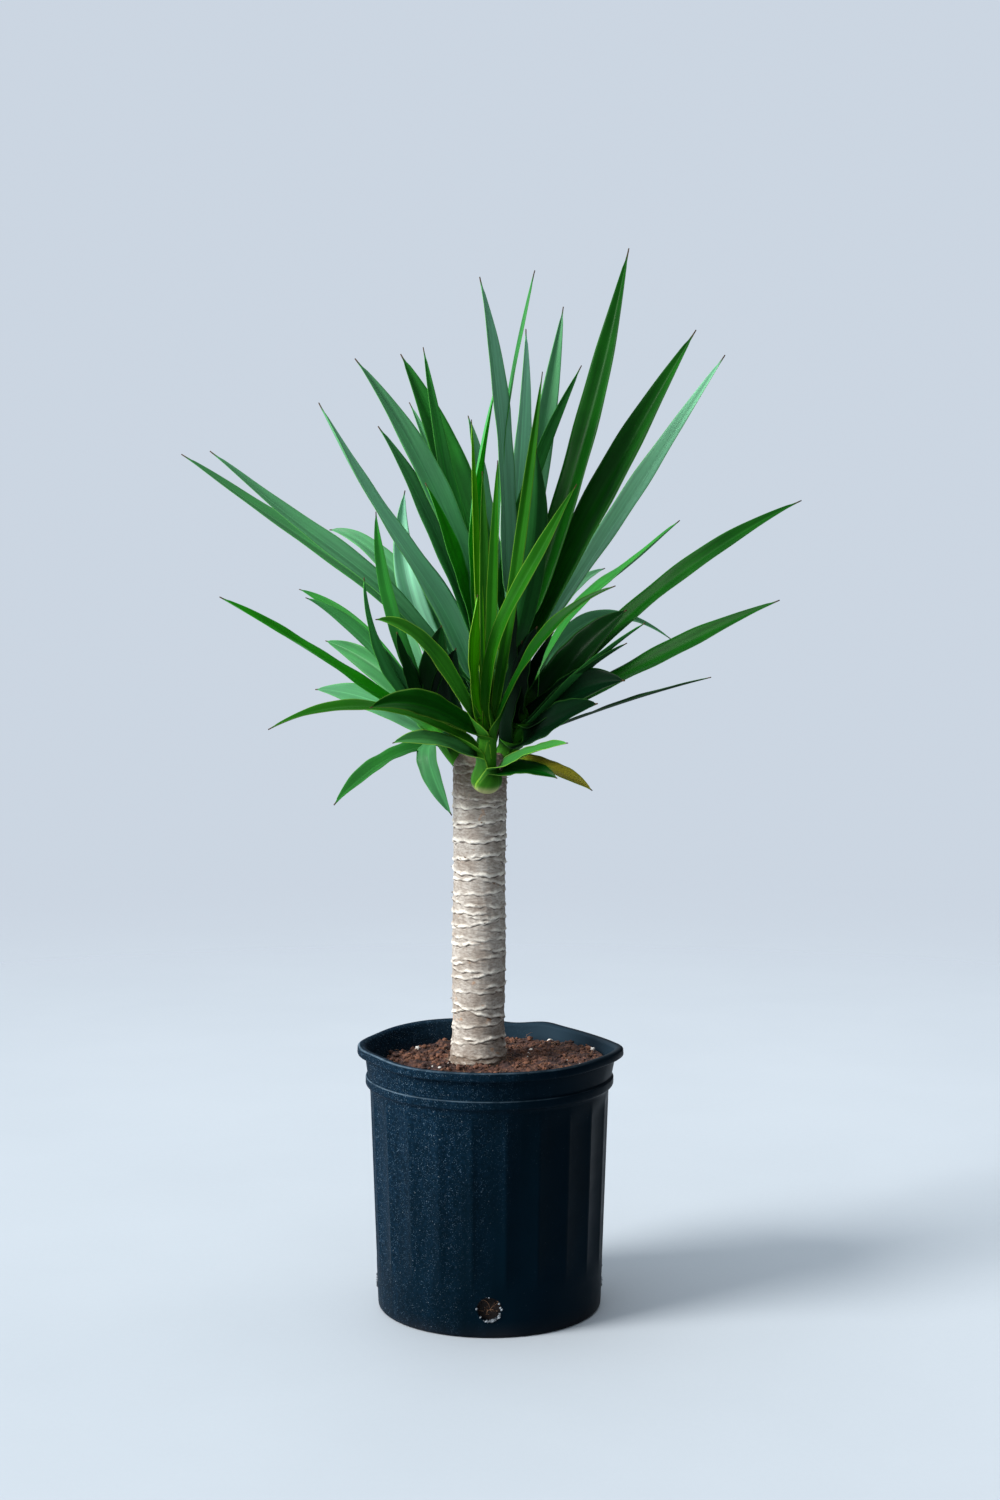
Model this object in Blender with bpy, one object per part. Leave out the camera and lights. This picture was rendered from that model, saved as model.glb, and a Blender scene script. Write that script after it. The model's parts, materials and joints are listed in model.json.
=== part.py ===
"""Yucca with a ringed cane and four leafy shoots, standing in a fluted nursery pot.

Metres, +Z up. The origin is the centre of the pot's flat underside, and -Y is the front.
"""
import math
import random

import bmesh
import bpy
import numpy as np
from mathutils import Vector
from mathutils.bvhtree import BVHTree

MM = 0.001
GAP = 0.3 * MM

# Pot
POT_HEIGHT = 260 * MM
FOOT_FLAT_RADIUS = 107.0 * MM
FOOT_RADIUS = 110.5 * MM
FOOT_ROUND = 4.0 * MM
SHOULDER_RADIUS = 118.0 * MM
RIDGE_LOW = 219.5 * MM
RIDGE_HIGH = 232.0 * MM
RIDGE_RADIUS = 122.3 * MM
RIDGE_ROUND = 3.0 * MM
COLLAR_RADIUS = 120.5 * MM
COLLAR_FLARE = 3.0 * MM
COLLAR_BASE = 14.0 * MM
LIP_RADIUS = 131.0 * MM
LIP_DROOP = 8.5 * MM
LIP_ROUND = 3.0 * MM
WALL = 2.4 * MM
FLOOR = 2.6 * MM
# Panels of the fluted wall, points across each, and the hollow's start, full depth and end
FLUTES = 22
FLUTE_STEPS = 3
FLUTE_DEPTH = 2.6 * MM
FLUTE_BANDS = ((46 * MM, 0.0), (62 * MM, 0.8), (202 * MM, 1.0), (215 * MM, 0.0))
# Where the soft lip is bent: azimuth and spread in degrees, then outward and upward in millimetres
LIP_BENDS = (
    (0, 9, 2.5, 0.0),
    (30, 30, -3.0, -4.0),
    (-33, 18, -3.5, 0.5),
    (62, 7, 0.0, 1.5),
    (79, 9, -1.5, -2.5),
    (118, 25, 0.0, 2.5),
    (155, 12, -2.5, 0.0),
    (180, 9, 0.0, 1.0),
    (-152, 18, -5.0, 1.5),
)
DRAIN_HOLES = 4
DRAIN_RADIUS = 11.5 * MM
DRAIN_HEIGHT = 29.0 * MM
DRAIN_SIDES = 12

# Soil: its crown fills the wider top of the pot, a little higher at the right
SOIL_HEIGHT = 243.0 * MM
SOIL_SLOPE = 0.032
SOIL_LUMPS = 2.4 * MM
SOIL_HEAP = 3.0 * MM
SOIL_EDGE = 114.0 * MM
SOIL_STEPS = 32
SOIL_RINGS = (1.0, 0.86, 0.7, 0.52, 0.34, 0.16)

# Cane
CANE_FOOT = Vector((-12.0, 0.0, 100.0)) * MM
CANE_TOP = Vector((-9.0, 0.0, 549.0)) * MM
CANE_RADIUS = 26.3 * MM
CANE_BURIED_RADIUS = 24.0 * MM
CANE_SIDES = 16
SCAR_PITCH = 13.5 * MM
SCAR_RISE = 1.3 * MM

# Blades
BLADE_THICKNESS = 0.9 * MM
BLADE_STEPS = 7
SHORT_BLADE_STEPS = 5
LONG_BLADE = 300 * MM
BLADE_ROOT_DEPTH = 4.0 * MM
NECK_WIDTH = 0.52
BLADE_WAVE = 1.5 * MM
GOLDEN_ANGLE = math.radians(137.508)

# Each shoot: foot and top of its short stem, stem radius at foot and top, all in millimetres.
# Each blade: height of its root along the stem (0 to 1), tip point, how far the middle bows
# away from a straight line, full width, its roll, how much further it twists toward its tip,
# and for some an S-shaped sway.
SHOOTS = {
    "shoot_front": {
        "stem": ((-3, -38, 526), (-1, -48, 566), 12.6, 9.0),
        "colour": (0.16, 0.42, 0.03),
        "blades": [
            (0.95, (81, -110, 806), (-22, 0, 8), 20, 25, 20, (-5, 0, 3)),
            (0.80, (-104, -120, 682), (2, -6, 30), 24, 40, 0),
            (0.75, (116, -130, 713), (-14, 0, 22), 20, 35, 0),
            (0.45, (-90, -95, 566), (0, 0, 11), 22, 30, 0),
            (0.60, (-206, -100, 579), (0, -6, 33), 20, 12, 0),
            (0.20, (73, -120, 568), (0, 0, 4), 22, 25, 0),
            (0.95, (50, -70, 912), (2, -3, 0), 13, 15, 0),
            (0.98, (-16, -65, 868), (-1, 0, 0), 9, 0, 0),
            (1.00, (-6, -58, 820), (0, 0, 0), 12, 0, 0),
            (1.00, (8, -62, 830), (0, 0, 0), 12, 30, 0),
            (0.90, (-10, -78, 704), (-9, 0, 0), 24, 20, 0),
            (0.12, (64, -96, 533), (0, 0, 7), 24, 25, 0),
            (0.95, (-110, -112, 600), (0, 0, 17), 32, 40, 0),
        ],
    },
    "shoot_left": {
        "stem": ((-25, 2, 538), (-64, -4, 590), 9.5, 6.5),
        "colour": (0.05, 0.26, 0.05),
        "blades": [
            (0.80, (-191, 70, 708), (0, 4, 20), 16, 0, 0),
            (0.75, (-176, -30, 701), (0, 0, 18), 16, 10, 0),
            (0.55, (-256, -50, 702), (0, 0, 4), 26, 35, 0),
            (0.60, (-168, 110, 655), (0, 6, 14), 26, 20, 0),
            (0.45, (-173, 40, 609), (0, 0, 12), 28, 30, 0),
            (0.80, (-109, -20, 783), (-11, 0, 0), 18, 60, 0),
            (0.60, (-119, -50, 720), (-14, 0, -6), 26, 60, 0),
            (0.90, (-88, -52, 668), (0, -4, 4), 30, 30, 0),
            (0.45, (-36, -44, 492), (-18, -16, 22), 28, 0, 0),
            (0.40, (-148, -60, 504), (0, 0, 16), 28, 30, 0),
            (0.95, (-46, -24, 674), (0, 0, 0), 32, 80, 0),
            (0.20, (-42, -24, 628), (0, 0, 0), 34, 80, 0),
            (0.75, (-32, -26, 652), (0, 0, 0), 30, 80, 0),
        ],
    },
    "shoot_right": {
        "stem": ((12, 2, 538), (34, -8, 588), 9.5, 6.5),
        "colour": (0.02, 0.16, 0.05),
        "blades": [
            (0.85, (300, -20, 794), (-6, 0, 18), 26, 0, 0),
            (0.65, (275, -60, 699), (0, 0, 4), 28, 8, 0),
            (0.45, (207, -100, 628), (0, 0, 4), 14, -15, 0),
            (0.95, (187, 30, 776), (-6, 0, 26), 25, -50, 0, (0, 0, 10)),
            (0.90, (187, 120, 656), (-14, 10, 54), 20, 18, 0),
            (0.90, (132, -30, 689), (0, 0, 8), 38, 45, 0),
            (0.35, (144, -120, 679), (0, -5, 8), 14, 10, 0),
            (0.50, (128, -108, 660), (0, -3, 8), 14, 10, 0),
            (0.60, (126, -110, 625), (0, -4, 14), 42, 80, 0),
            (0.30, (100, -130, 605), (0, -6, 4), 41, 75, 0),
            (0.75, (46, -70, 674), (-12, 0, 2), 40, 10, 0),
            (0.85, (24, -50, 706), (-6, -2, 0), 34, 0, 0),
            (0.15, (98, -70, 519), (0, 0, 6), 20, 35, 0),
            (0.10, (32, -50, 660), (-6, 0, 0), 34, 0, 0),
            (0.45, (62, -42, 668), (-8, 0, 6), 36, 20, 0),
        ],
    },
    "shoot_centre": {
        "stem": ((-6, 14, 538), (20, 34, 665), 9.5, 7.0),
        "colour": (0.03, 0.2, 0.05),
        "blades": [
            (0.60, (138, 70, 1045), (11, 10, 0), 33, 60, 0),
            (0.55, (206, 80, 966), (-4, 12, 2), 37, 50, 0),
            (0.50, (239, 120, 945), (1, 14, 0), 30, 10, 20),
            (0.90, (-9, 30, 1012), (11, 0, 0), 32, 72, 0),
            (0.70, (45, 45, 1020), (-18, 5, 0), 24, 25, -15),
            (0.35, (6, 40, 905), (-22, 0, 0), 34, 30, 0),
            (0.80, (37, 110, 970), (4, 6, 0), 28, 0, 0),
            (0.75, (74, 90, 990), (2, 6, 0), 26, 20, 0),
            (0.65, (92, 72, 930), (-22, 0, 0), 22, 60, 0),
            (0.65, (45, 4, 845), (12, -6, 0), 38, 10, 0),
            (0.60, (-133, 60, 936), (20, 0, 6), 37, 55, 0),
            (0.50, (-109, 35, 868), (10, 0, 6), 33, 55, 0),
            (0.70, (-90, 110, 945), (14, 6, 6), 40, 60, 0),
            (0.55, (-66, 80, 949), (-4, 4, 0), 20, 60, 0),
            (0.80, (-82, 130, 898), (6, 6, 0), 20, 40, 0),
            (0.28, (-165, 8, 889), (10, 0, 2), 38, 80, -60, (6, 0, 4)),
            (0.40, (-62, 12, 812), (6, 0, 2), 32, 50, 0),
            (0.30, (-84, 62, 806), (-31, 4, 0), 28, 75, 0),
            (0.20, (-270, 0, 842), (6, 0, 29), 26, 55, 0, (4, 0, 8)),
            (0.28, (-306, 60, 842), (5, 6, 27), 24, 50, 0, (4, 0, 6)),
            (0.34, (-163, 110, 768), (-8, 0, 44), 28, 55, 0),
        ],
    },
}

# The blades at the back of a shoot follow its spiral: how many are tried, their length and
# how steeply they rise, from the lowest to the highest. One that meets another shoot is left out.
BACK_BLADES = {
    "shoot_left": (5, 170, 5, 50),
    "shoot_right": (5, 170, 0, 45),
    "shoot_centre": (7, 270, 12, 68),
}
BACK_SPREAD = math.radians(42)
BACK_SEED = 7


def unit(v):
    return v / np.linalg.norm(v, axis=-1, keepdims=True)


def blade_width(t):
    """Share of the full width: a channelled neck, widest at the middle, then a long point."""
    lower = NECK_WIDTH + (1 - NECK_WIDTH) * np.sin(np.pi * np.clip(t, 0, 0.5))
    upper = 1 - (2 * t - 1) ** 2
    return np.maximum(np.where(t > 0.5, upper, lower), 0.03)


def blade_fold(t):
    """Angle that each half of the blade rises from flat, in radians."""
    return np.radians(20 + 34 * np.exp(-(t / 0.14) ** 2) + 12 * t ** 3)


def blade_frame(stem, blade, t):
    """Midrib points of a blade in millimetres, with the direction along, across and up from it."""
    foot, top = np.array(stem[0], float), np.array(stem[1], float)
    height, tip, bow, width, roll, twist = blade[:6]
    sway = np.array(blade[6] if len(blade) > 6 else (0, 0, 0), float)
    axis = unit(top - foot)
    root = foot + (top - foot) * height
    tip = np.array(tip, float)
    bow = np.array(bow, float)
    out = tip + bow * 2 - root
    out = unit(out - axis * (out @ axis))
    root = root + out * BLADE_ROOT_DEPTH / MM
    knee = (root + tip) / 2 + bow * 2
    u = t[:, None]
    rib = root * (1 - u) ** 2 + knee * 2 * u * (1 - u) + tip * u ** 2
    rib = rib + sway * np.sin(2 * np.pi * u)
    along = unit((knee - root) * (1 - u) + (tip - knee) * u + sway * np.pi * np.cos(2 * np.pi * u))
    across = unit(np.cross(axis, out))
    across = unit(across - (along @ across)[:, None] * along)
    up = np.cross(along, across)
    # A positive roll turns the blade's upper face to the front
    middle = len(t) // 2
    side = 1.0 if np.cross(up[middle], (0, -1, 0)) @ along[middle] >= 0 else -1.0
    angle = np.radians(side * (roll + twist * t))[:, None]
    turned_up = up * np.cos(angle) + np.cross(along, up) * np.sin(angle)
    turned_across = across * np.cos(angle) + np.cross(along, across) * np.sin(angle)
    return rib, turned_across, turned_up


def blade_solid(stem, blade, phase, thickness=BLADE_THICKNESS):
    """Corner points in metres and triangles of one folded, slightly waved blade."""
    long = math.dist(blade[1], stem[0]) > LONG_BLADE / MM
    t = np.linspace(0, 1, (BLADE_STEPS if long else SHORT_BLADE_STEPS) + 1)
    rib, across, up = blade_frame(stem, blade, t)
    half = blade[3] / 2 * blade_width(t)
    fold = blade_fold(t)
    wave = BLADE_WAVE / MM * np.sin(np.pi * t) * np.sin(3.2 * np.pi * t + phase)
    wave = wave * min(1.0, blade[3] / 24)
    offset = up * (thickness / MM / np.cos(fold))[:, None]
    upper = []
    for share in (-1, 0, 1):
        side = across * (half * share * np.cos(fold))[:, None]
        rise = half * abs(share) * np.sin(fold) + wave * share
        upper.append(rib + side + up * rise[:, None])
    upper = np.stack(upper, 1)
    lower = upper - offset[:, None, :]
    rings = np.concatenate([upper, lower[:, ::-1]], 1)
    steps, count = rings.shape[:2]
    points = rings.reshape(-1, 3) * MM
    # The same diagonal splits both faces of the blade
    faces = []
    for i in range(steps - 1):
        for j in range(count):
            a, b = i * count + j, i * count + (j + 1) % count
            c, d = b + count, a + count
            if j < 3:
                faces += [(a, c, b), (a, d, c)]
            else:
                faces += [(a, d, b), (b, d, c)]
    for ring, turn in ((0, 1), (steps - 1, -1)):
        a = ring * count
        for tri in ((0, 1, 4), (0, 4, 5), (1, 2, 3), (1, 3, 4)):
            faces.append(tuple(a + k for k in tri[::turn]))
    return points, faces


def stem_solid(stem, swell=0.0, sides=12):
    """Tapered short stem with a domed foot and top, in metres."""
    foot, top, r0, r1 = np.array(stem[0], float), np.array(stem[1], float), stem[2], stem[3]
    axis = unit(top - foot)
    a = unit(np.cross(axis, (0, 1, 0)))
    b = np.cross(axis, a)
    profile = []
    for k in range(1, 4):
        angle = math.pi / 2 * k / 3
        profile.append((-math.cos(angle) * r0, math.sin(angle) * r0))
    length = np.linalg.norm(top - foot)
    for k in range(1, 4):
        profile.append((length * k / 3, r0 + (r1 - r0) * k / 3))
    profile.append((length + r1 * 0.7, r1 * 0.7))
    points = []
    for height, radius in profile:
        for k in range(sides):
            angle = 2 * math.pi * k / sides
            ring = a * math.cos(angle) + b * math.sin(angle)
            points.append(foot + axis * height + ring * (radius + swell / MM))
    points.append(foot - axis * (r0 + swell / MM))
    points.append(foot + axis * (length + r1 + swell / MM))
    faces = []
    rings = len(profile)
    for i in range(rings - 1):
        for k in range(sides):
            p, q = i * sides + k, i * sides + (k + 1) % sides
            faces.append((p, q, q + sides, p + sides))
    low, high = rings * sides, rings * sides + 1
    for k in range(sides):
        nxt = (k + 1) % sides
        faces.append((nxt, k, low))
        faces.append(((rings - 1) * sides + k, (rings - 1) * sides + nxt, high))
    return np.array(points) * MM, faces


def material(name, colour, roughness, metallic=0.0):
    mat = bpy.data.materials.new(name)
    mat.use_nodes = True
    shader = mat.node_tree.nodes["Principled BSDF"]
    shader.inputs["Base Color"].default_value = (*colour, 1.0)
    shader.inputs["Roughness"].default_value = roughness
    shader.inputs["Metallic"].default_value = metallic
    mat.diffuse_color = (*colour, 1.0)
    return mat


def add_object(name, points, faces, mat=None, collection=None):
    """Closed mesh object with its faces turned outward."""
    mesh = bpy.data.meshes.new(name)
    mesh.from_pydata([tuple(p) for p in points], [], faces)
    work = bmesh.new()
    work.from_mesh(mesh)
    bmesh.ops.recalc_face_normals(work, faces=work.faces)
    work.to_mesh(mesh)
    work.free()
    obj = bpy.data.objects.new(name, mesh)
    (collection or bpy.context.scene.collection).objects.link(obj)
    if mat:
        mesh.materials.append(mat)
    return obj


def remove_objects(objects):
    for obj in list(objects):
        bpy.data.objects.remove(obj, do_unlink=True)


def apply_boolean(obj, operation, collection, solver="EXACT"):
    """Join or cut with every object of a collection, keep the result and drop the operands."""
    modifier = obj.modifiers.new(operation.lower(), "BOOLEAN")
    modifier.operation = operation
    modifier.operand_type = "COLLECTION"
    modifier.collection = collection
    modifier.solver = solver
    graph = bpy.context.evaluated_depsgraph_get()
    mesh = bpy.data.meshes.new_from_object(obj.evaluated_get(graph))
    obj.modifiers.clear()
    old = obj.data
    obj.data = mesh
    mesh.name = old.name
    bpy.data.meshes.remove(old)
    remove_objects(collection.objects)
    bpy.data.collections.remove(collection)


def keep_main_body(obj):
    """Drop loose scraps and fill sealed hollows: only the largest connected skin stays."""
    work = bmesh.new()
    work.from_mesh(obj.data)
    bmesh.ops.triangulate(work, faces=work.faces)
    bmesh.ops.remove_doubles(work, verts=work.verts, dist=0.002 * MM)
    bmesh.ops.dissolve_degenerate(work, edges=work.edges, dist=0.002 * MM)
    bmesh.ops.triangulate(work, faces=work.faces)
    groups = []
    left = set(work.verts)
    while left:
        seed = left.pop()
        group, queue = {seed}, [seed]
        while queue:
            for edge in queue.pop().link_edges:
                for vert in edge.verts:
                    if vert in left:
                        left.remove(vert)
                        group.add(vert)
                        queue.append(vert)
        groups.append(group)
    groups.sort(key=len)
    for group in groups[:-1]:
        bmesh.ops.delete(work, geom=list(group), context="VERTS")
    work.to_mesh(obj.data)
    work.free()


def shade(obj, angle=40):
    obj.data.shade_smooth()
    obj.data.set_sharp_from_angle(angle=math.radians(angle))


def loft(rings):
    """Faces between closed rings of points, the first and last ring closed by a flat cap."""
    count = len(rings[0])
    faces = []
    for i in range(len(rings) - 1):
        for k in range(count):
            a, b = i * count + k, i * count + (k + 1) % count
            faces.append((a, b, b + count, a + count))
    faces.append(tuple(reversed(range(count))))
    faces.append(tuple((len(rings) - 1) * count + k for k in range(count)))
    return [p for ring in rings for p in ring], faces


def lip_bend(angle):
    """Outward and upward shift of the lip at an azimuth."""
    out, rise = 0.0, 0.0
    for centre, spread, bend_out, bend_up in LIP_BENDS:
        away = math.remainder(angle - math.radians(centre), 2 * math.pi) / math.radians(spread)
        out += bend_out * MM * math.exp(-away * away)
        rise += bend_up * MM * math.exp(-away * away)
    return out, rise


def ring_points(radius, height, flute=0.0, bend=0.0):
    """Ring round the pot: flute hollows each panel of the wall, bend is the lip's share of bending."""
    points = []
    count = FLUTES * FLUTE_STEPS
    for k in range(count):
        angle = 2 * math.pi * k / count
        share = (k % FLUTE_STEPS) / FLUTE_STEPS
        out, rise = lip_bend(angle)
        r = radius - flute * math.sin(math.pi * share) ** 0.8 + bend * out
        points.append(Vector((r * math.cos(angle), r * math.sin(angle), height + bend * rise)))
    return points


def outer_radius(height):
    """Crests of the fluted wall."""
    return FOOT_RADIUS + (SHOULDER_RADIUS - FOOT_RADIUS) * height / RIDGE_LOW


def inner_radius(height):
    """Plain round inside of the pot, clear of the bottom of the flutes."""
    return outer_radius(height) - FLUTE_DEPTH - WALL


def build_pot():
    lip_low = POT_HEIGHT - LIP_DROOP
    collar_top = COLLAR_RADIUS + COLLAR_FLARE
    rings = [ring_points(FOOT_FLAT_RADIUS, 0.0), ring_points(FOOT_RADIUS, FOOT_ROUND)]
    for height, depth in FLUTE_BANDS:
        rings.append(ring_points(outer_radius(height), height, FLUTE_DEPTH * depth))
    rings.append(ring_points(SHOULDER_RADIUS, RIDGE_LOW))
    rings.append(ring_points(RIDGE_RADIUS, RIDGE_LOW + RIDGE_ROUND, bend=0.15))
    rings.append(ring_points(RIDGE_RADIUS, RIDGE_HIGH - RIDGE_ROUND, bend=0.2))
    rings.append(ring_points(COLLAR_RADIUS, RIDGE_HIGH, bend=0.25))
    rings.append(ring_points(collar_top, lip_low, bend=0.8))
    rings.append(ring_points(LIP_RADIUS - LIP_ROUND / 2, lip_low + LIP_ROUND / 4, bend=1.0))
    rings.append(ring_points(LIP_RADIUS, POT_HEIGHT - LIP_ROUND, bend=1.0))
    rings.append(ring_points(LIP_RADIUS - LIP_ROUND, POT_HEIGHT, bend=1.0))
    rings.append(ring_points(collar_top, POT_HEIGHT - LIP_ROUND / 2, bend=1.0))
    rings.append(ring_points(COLLAR_RADIUS - WALL, POT_HEIGHT - COLLAR_BASE, bend=0.6))
    rings.append(ring_points(inner_radius(RIDGE_LOW), RIDGE_LOW))
    rings.append(ring_points(inner_radius(FLOOR), FLOOR + FOOT_ROUND))
    rings.append(ring_points(inner_radius(FLOOR) - FOOT_ROUND, FLOOR))
    points, faces = loft(rings)
    pot = add_object("pot", points, faces, material("pot plastic", (0.012, 0.014, 0.022), 0.42))
    cutters = bpy.data.collections.new("drain cutters")
    bpy.context.scene.collection.children.link(cutters)
    for k in range(DRAIN_HOLES):
        angle = -math.pi / 2 + 2 * math.pi * k / DRAIN_HOLES
        reach = outer_radius(DRAIN_HEIGHT)
        centre = Vector((math.cos(angle) * reach, math.sin(angle) * reach, DRAIN_HEIGHT))
        hole = []
        for end in (-16 * MM, 12 * MM):
            ring = []
            for i in range(DRAIN_SIDES):
                turn = 2 * math.pi * i / DRAIN_SIDES
                side = Vector((-math.sin(angle), math.cos(angle), 0)) * math.cos(turn) * DRAIN_RADIUS
                rise = Vector((0, 0, math.sin(turn) * DRAIN_RADIUS))
                ring.append(centre + Vector((math.cos(angle), math.sin(angle), 0)) * end + side + rise)
            hole.append(ring)
        cutter = add_object("drain cutter", *loft(hole), collection=cutters)
        cutter.hide_render = True
        cutter.display_type = "WIRE"
    apply_boolean(pot, "DIFFERENCE", cutters)
    shade(pot, 35)
    return pot


def soil_surface(x, y):
    """Uneven top of the soil, sloping up to the right and heaped round the cane."""
    lumps = 0.5 * math.sin(70 * x + 1.2) * math.sin(55 * y + 0.4) + 0.35 * math.sin(160 * x + 90 * y)
    cane = math.hypot(x - CANE_FOOT.x, y - CANE_FOOT.y)
    heap = SOIL_HEAP * math.exp(-(cane / CANE_RADIUS / 2) ** 2)
    return SOIL_HEIGHT + SOIL_LUMPS * lumps + SOIL_SLOPE * x + heap


def build_soil():
    points, faces, rings = [], [], []
    sides = (
        (inner_radius(FLOOR) - FOOT_ROUND - 2 * GAP, FLOOR + GAP),
        (inner_radius(FLOOR) - 2 * GAP, FLOOR + FOOT_ROUND + 2 * GAP),
        (inner_radius(RIDGE_LOW) - 2 * GAP, RIDGE_LOW),
    )
    for radius, height in sides:
        rings.append([(radius, height, False)] * SOIL_STEPS)
    for share in SOIL_RINGS:
        rings.append([(SOIL_EDGE * share, 0.0, True)] * SOIL_STEPS)
    for ring in rings:
        for k, (radius, height, top) in enumerate(ring):
            angle = 2 * math.pi * k / SOIL_STEPS
            x, y = radius * math.cos(angle), radius * math.sin(angle)
            points.append((x, y, soil_surface(x, y) if top else height))
    count = SOIL_STEPS
    for i in range(len(rings) - 1):
        for k in range(count):
            a, b = i * count + k, i * count + (k + 1) % count
            faces += [(a, b, b + count), (a, b + count, a + count)]
    faces.append(tuple(reversed(range(count))))
    faces.append(tuple((len(rings) - 1) * count + k for k in range(count)))
    soil = add_object("soil", points, faces, material("soil", (0.11, 0.045, 0.025), 0.95))
    # Plain hole that the buried end of the cane stands in
    cutters = bpy.data.collections.new("soil cutters")
    bpy.context.scene.collection.children.link(cutters)
    hole = []
    for height in (CANE_FOOT.z - GAP, SOIL_HEIGHT - 16 * MM, SOIL_HEIGHT - 8 * MM, SOIL_HEIGHT + 40 * MM):
        hole.append(cane_ring(height, GAP, plain=True))
    cutter = add_object("cane hole", *loft(hole), collection=cutters)
    cutter.hide_render = True
    cutter.display_type = "WIRE"
    apply_boolean(soil, "DIFFERENCE", cutters)
    keep_main_body(soil)
    shade(soil, 60)
    return soil


def cane_ring(height, swell=0.0, scar=0.0, plain=False):
    share = (height - CANE_FOOT.z) / (CANE_TOP.z - CANE_FOOT.z)
    centre = CANE_FOOT.lerp(CANE_TOP, share)
    buried = height < SOIL_HEIGHT - 12 * MM
    radius = CANE_BURIED_RADIUS if buried else CANE_RADIUS
    if not buried:
        radius += 2.6 * MM * math.exp(-((height - SOIL_HEIGHT) / (22 * MM)) ** 2)
    if plain and not buried:
        radius = CANE_RADIUS + 2.6 * MM + 2 * SCAR_RISE
    ring = []
    for k in range(CANE_SIDES):
        angle = 2 * math.pi * k / CANE_SIDES
        tilt = 0.0
        r = radius + swell
        if not plain and not buried:
            r += scar * (0.75 + 0.5 * math.sin(3 * angle + height * 900))
            r += 0.5 * MM * math.sin(2 * angle + height * 40)
            tilt = 0.9 * MM * math.sin(angle + height * 310)
        ring.append(Vector((centre.x + r * math.cos(angle), centre.y + r * math.sin(angle), height + tilt)))
    return ring


def build_cane():
    rings = [cane_ring(CANE_FOOT.z), cane_ring(SOIL_HEIGHT - 14 * MM)]
    height = SOIL_HEIGHT - 6 * MM
    while height < CANE_TOP.z - 8 * MM:
        rings.append(cane_ring(height))
        rings.append(cane_ring(height + 0.62 * SCAR_PITCH, scar=SCAR_RISE))
        height += SCAR_PITCH
    rings.append(cane_ring(CANE_TOP.z - 2 * MM))
    rings.append(cane_ring(CANE_TOP.z, swell=-3 * MM))
    cane = add_object("cane", *loft(rings), material("cane bark", (0.42, 0.36, 0.27), 0.9))
    # Each shoot breaks out of the bark in a close seat
    cutters = bpy.data.collections.new("seat cutters")
    bpy.context.scene.collection.children.link(cutters)
    for name, shoot in SHOOTS.items():
        cutter = add_object("seat " + name, *stem_solid(shoot["stem"], GAP), collection=cutters)
        cutter.hide_render = True
        cutter.display_type = "WIRE"
    apply_boolean(cane, "DIFFERENCE", cutters)
    keep_main_body(cane)
    shade(cane, 50)
    return cane


def back_blades(name, shoot, taken):
    """Blades of the spiral at the back of a shoot, without those that meet another shoot."""
    tries, length, low, high = BACK_BLADES[name]
    draw = random.Random(BACK_SEED + len(name))
    kept = []
    foot, top = np.array(shoot["stem"][0], float), np.array(shoot["stem"][1], float)
    for k in range(tries):
        share = (k + 0.5) / tries
        angle = math.pi / 2 + BACK_SPREAD * (1 - 0.6 * share) * math.sin(k * GOLDEN_ANGLE)
        rise = math.radians(low + (high - low) * share + draw.uniform(-5, 5))
        reach = length * draw.uniform(0.85, 1.1)
        root = foot + (top - foot) * (0.35 + 0.6 * share)
        out = np.array((math.cos(angle) * math.cos(rise), math.sin(angle) * math.cos(rise), math.sin(rise)))
        bow = (0, 0, reach * 0.09 * math.cos(rise))
        blade = (0.35 + 0.6 * share, tuple(root + out * reach), bow, draw.uniform(24, 32), 0, 0)
        points, faces = blade_solid(shoot["stem"], blade, k, 4 * BLADE_THICKNESS)
        tree = BVHTree.FromPolygons([tuple(p) for p in points], faces)
        if not any(tree.overlap(other) for other in taken):
            kept.append(blade)
    return kept


def tree_of(points, faces):
    return BVHTree.FromPolygons([tuple(p) for p in points], faces)


def shoot_blades():
    """Every blade of every shoot, the hand-placed ones and those at the back."""
    blades = {name: list(shoot["blades"]) for name, shoot in SHOOTS.items()}
    for name in BACK_BLADES:
        taken = []
        for other in SHOOTS:
            if other != name:
                taken.append(tree_of(*stem_solid(SHOOTS[other]["stem"], 1 * MM)))
                for k, blade in enumerate(blades[other]):
                    taken.append(tree_of(*blade_solid(SHOOTS[other]["stem"], blade, k)))
        blades[name] += back_blades(name, SHOOTS[name], taken)
    return blades


def build_shoot(name, blades):
    shoot = SHOOTS[name]
    stem = add_object(name, *stem_solid(shoot["stem"]), material(name, shoot["colour"], 0.4))
    group = bpy.data.collections.new(name + " blades")
    bpy.context.scene.collection.children.link(group)
    for k, blade in enumerate(blades):
        points, faces = blade_solid(shoot["stem"], blade, k)
        add_object(f"{name} blade {k}", points, faces, collection=group)
    apply_boolean(stem, "UNION", group)
    keep_main_body(stem)
    shade(stem, 30)
    return stem


def main():
    remove_objects(bpy.data.objects)
    build_pot()
    build_soil()
    build_cane()
    blades = shoot_blades()
    for name in SHOOTS:
        build_shoot(name, blades[name])


if __name__ == "__main__":
    main()
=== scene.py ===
"""Looks of a potted yucca over its fixed solids: fluted pot, soil, ringed cane and leafy shoots."""
import json
import math
import random
from collections import namedtuple

import bmesh
import bpy
import numpy as np
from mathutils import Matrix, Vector, noise
from mathutils.bvhtree import BVHTree

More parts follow.
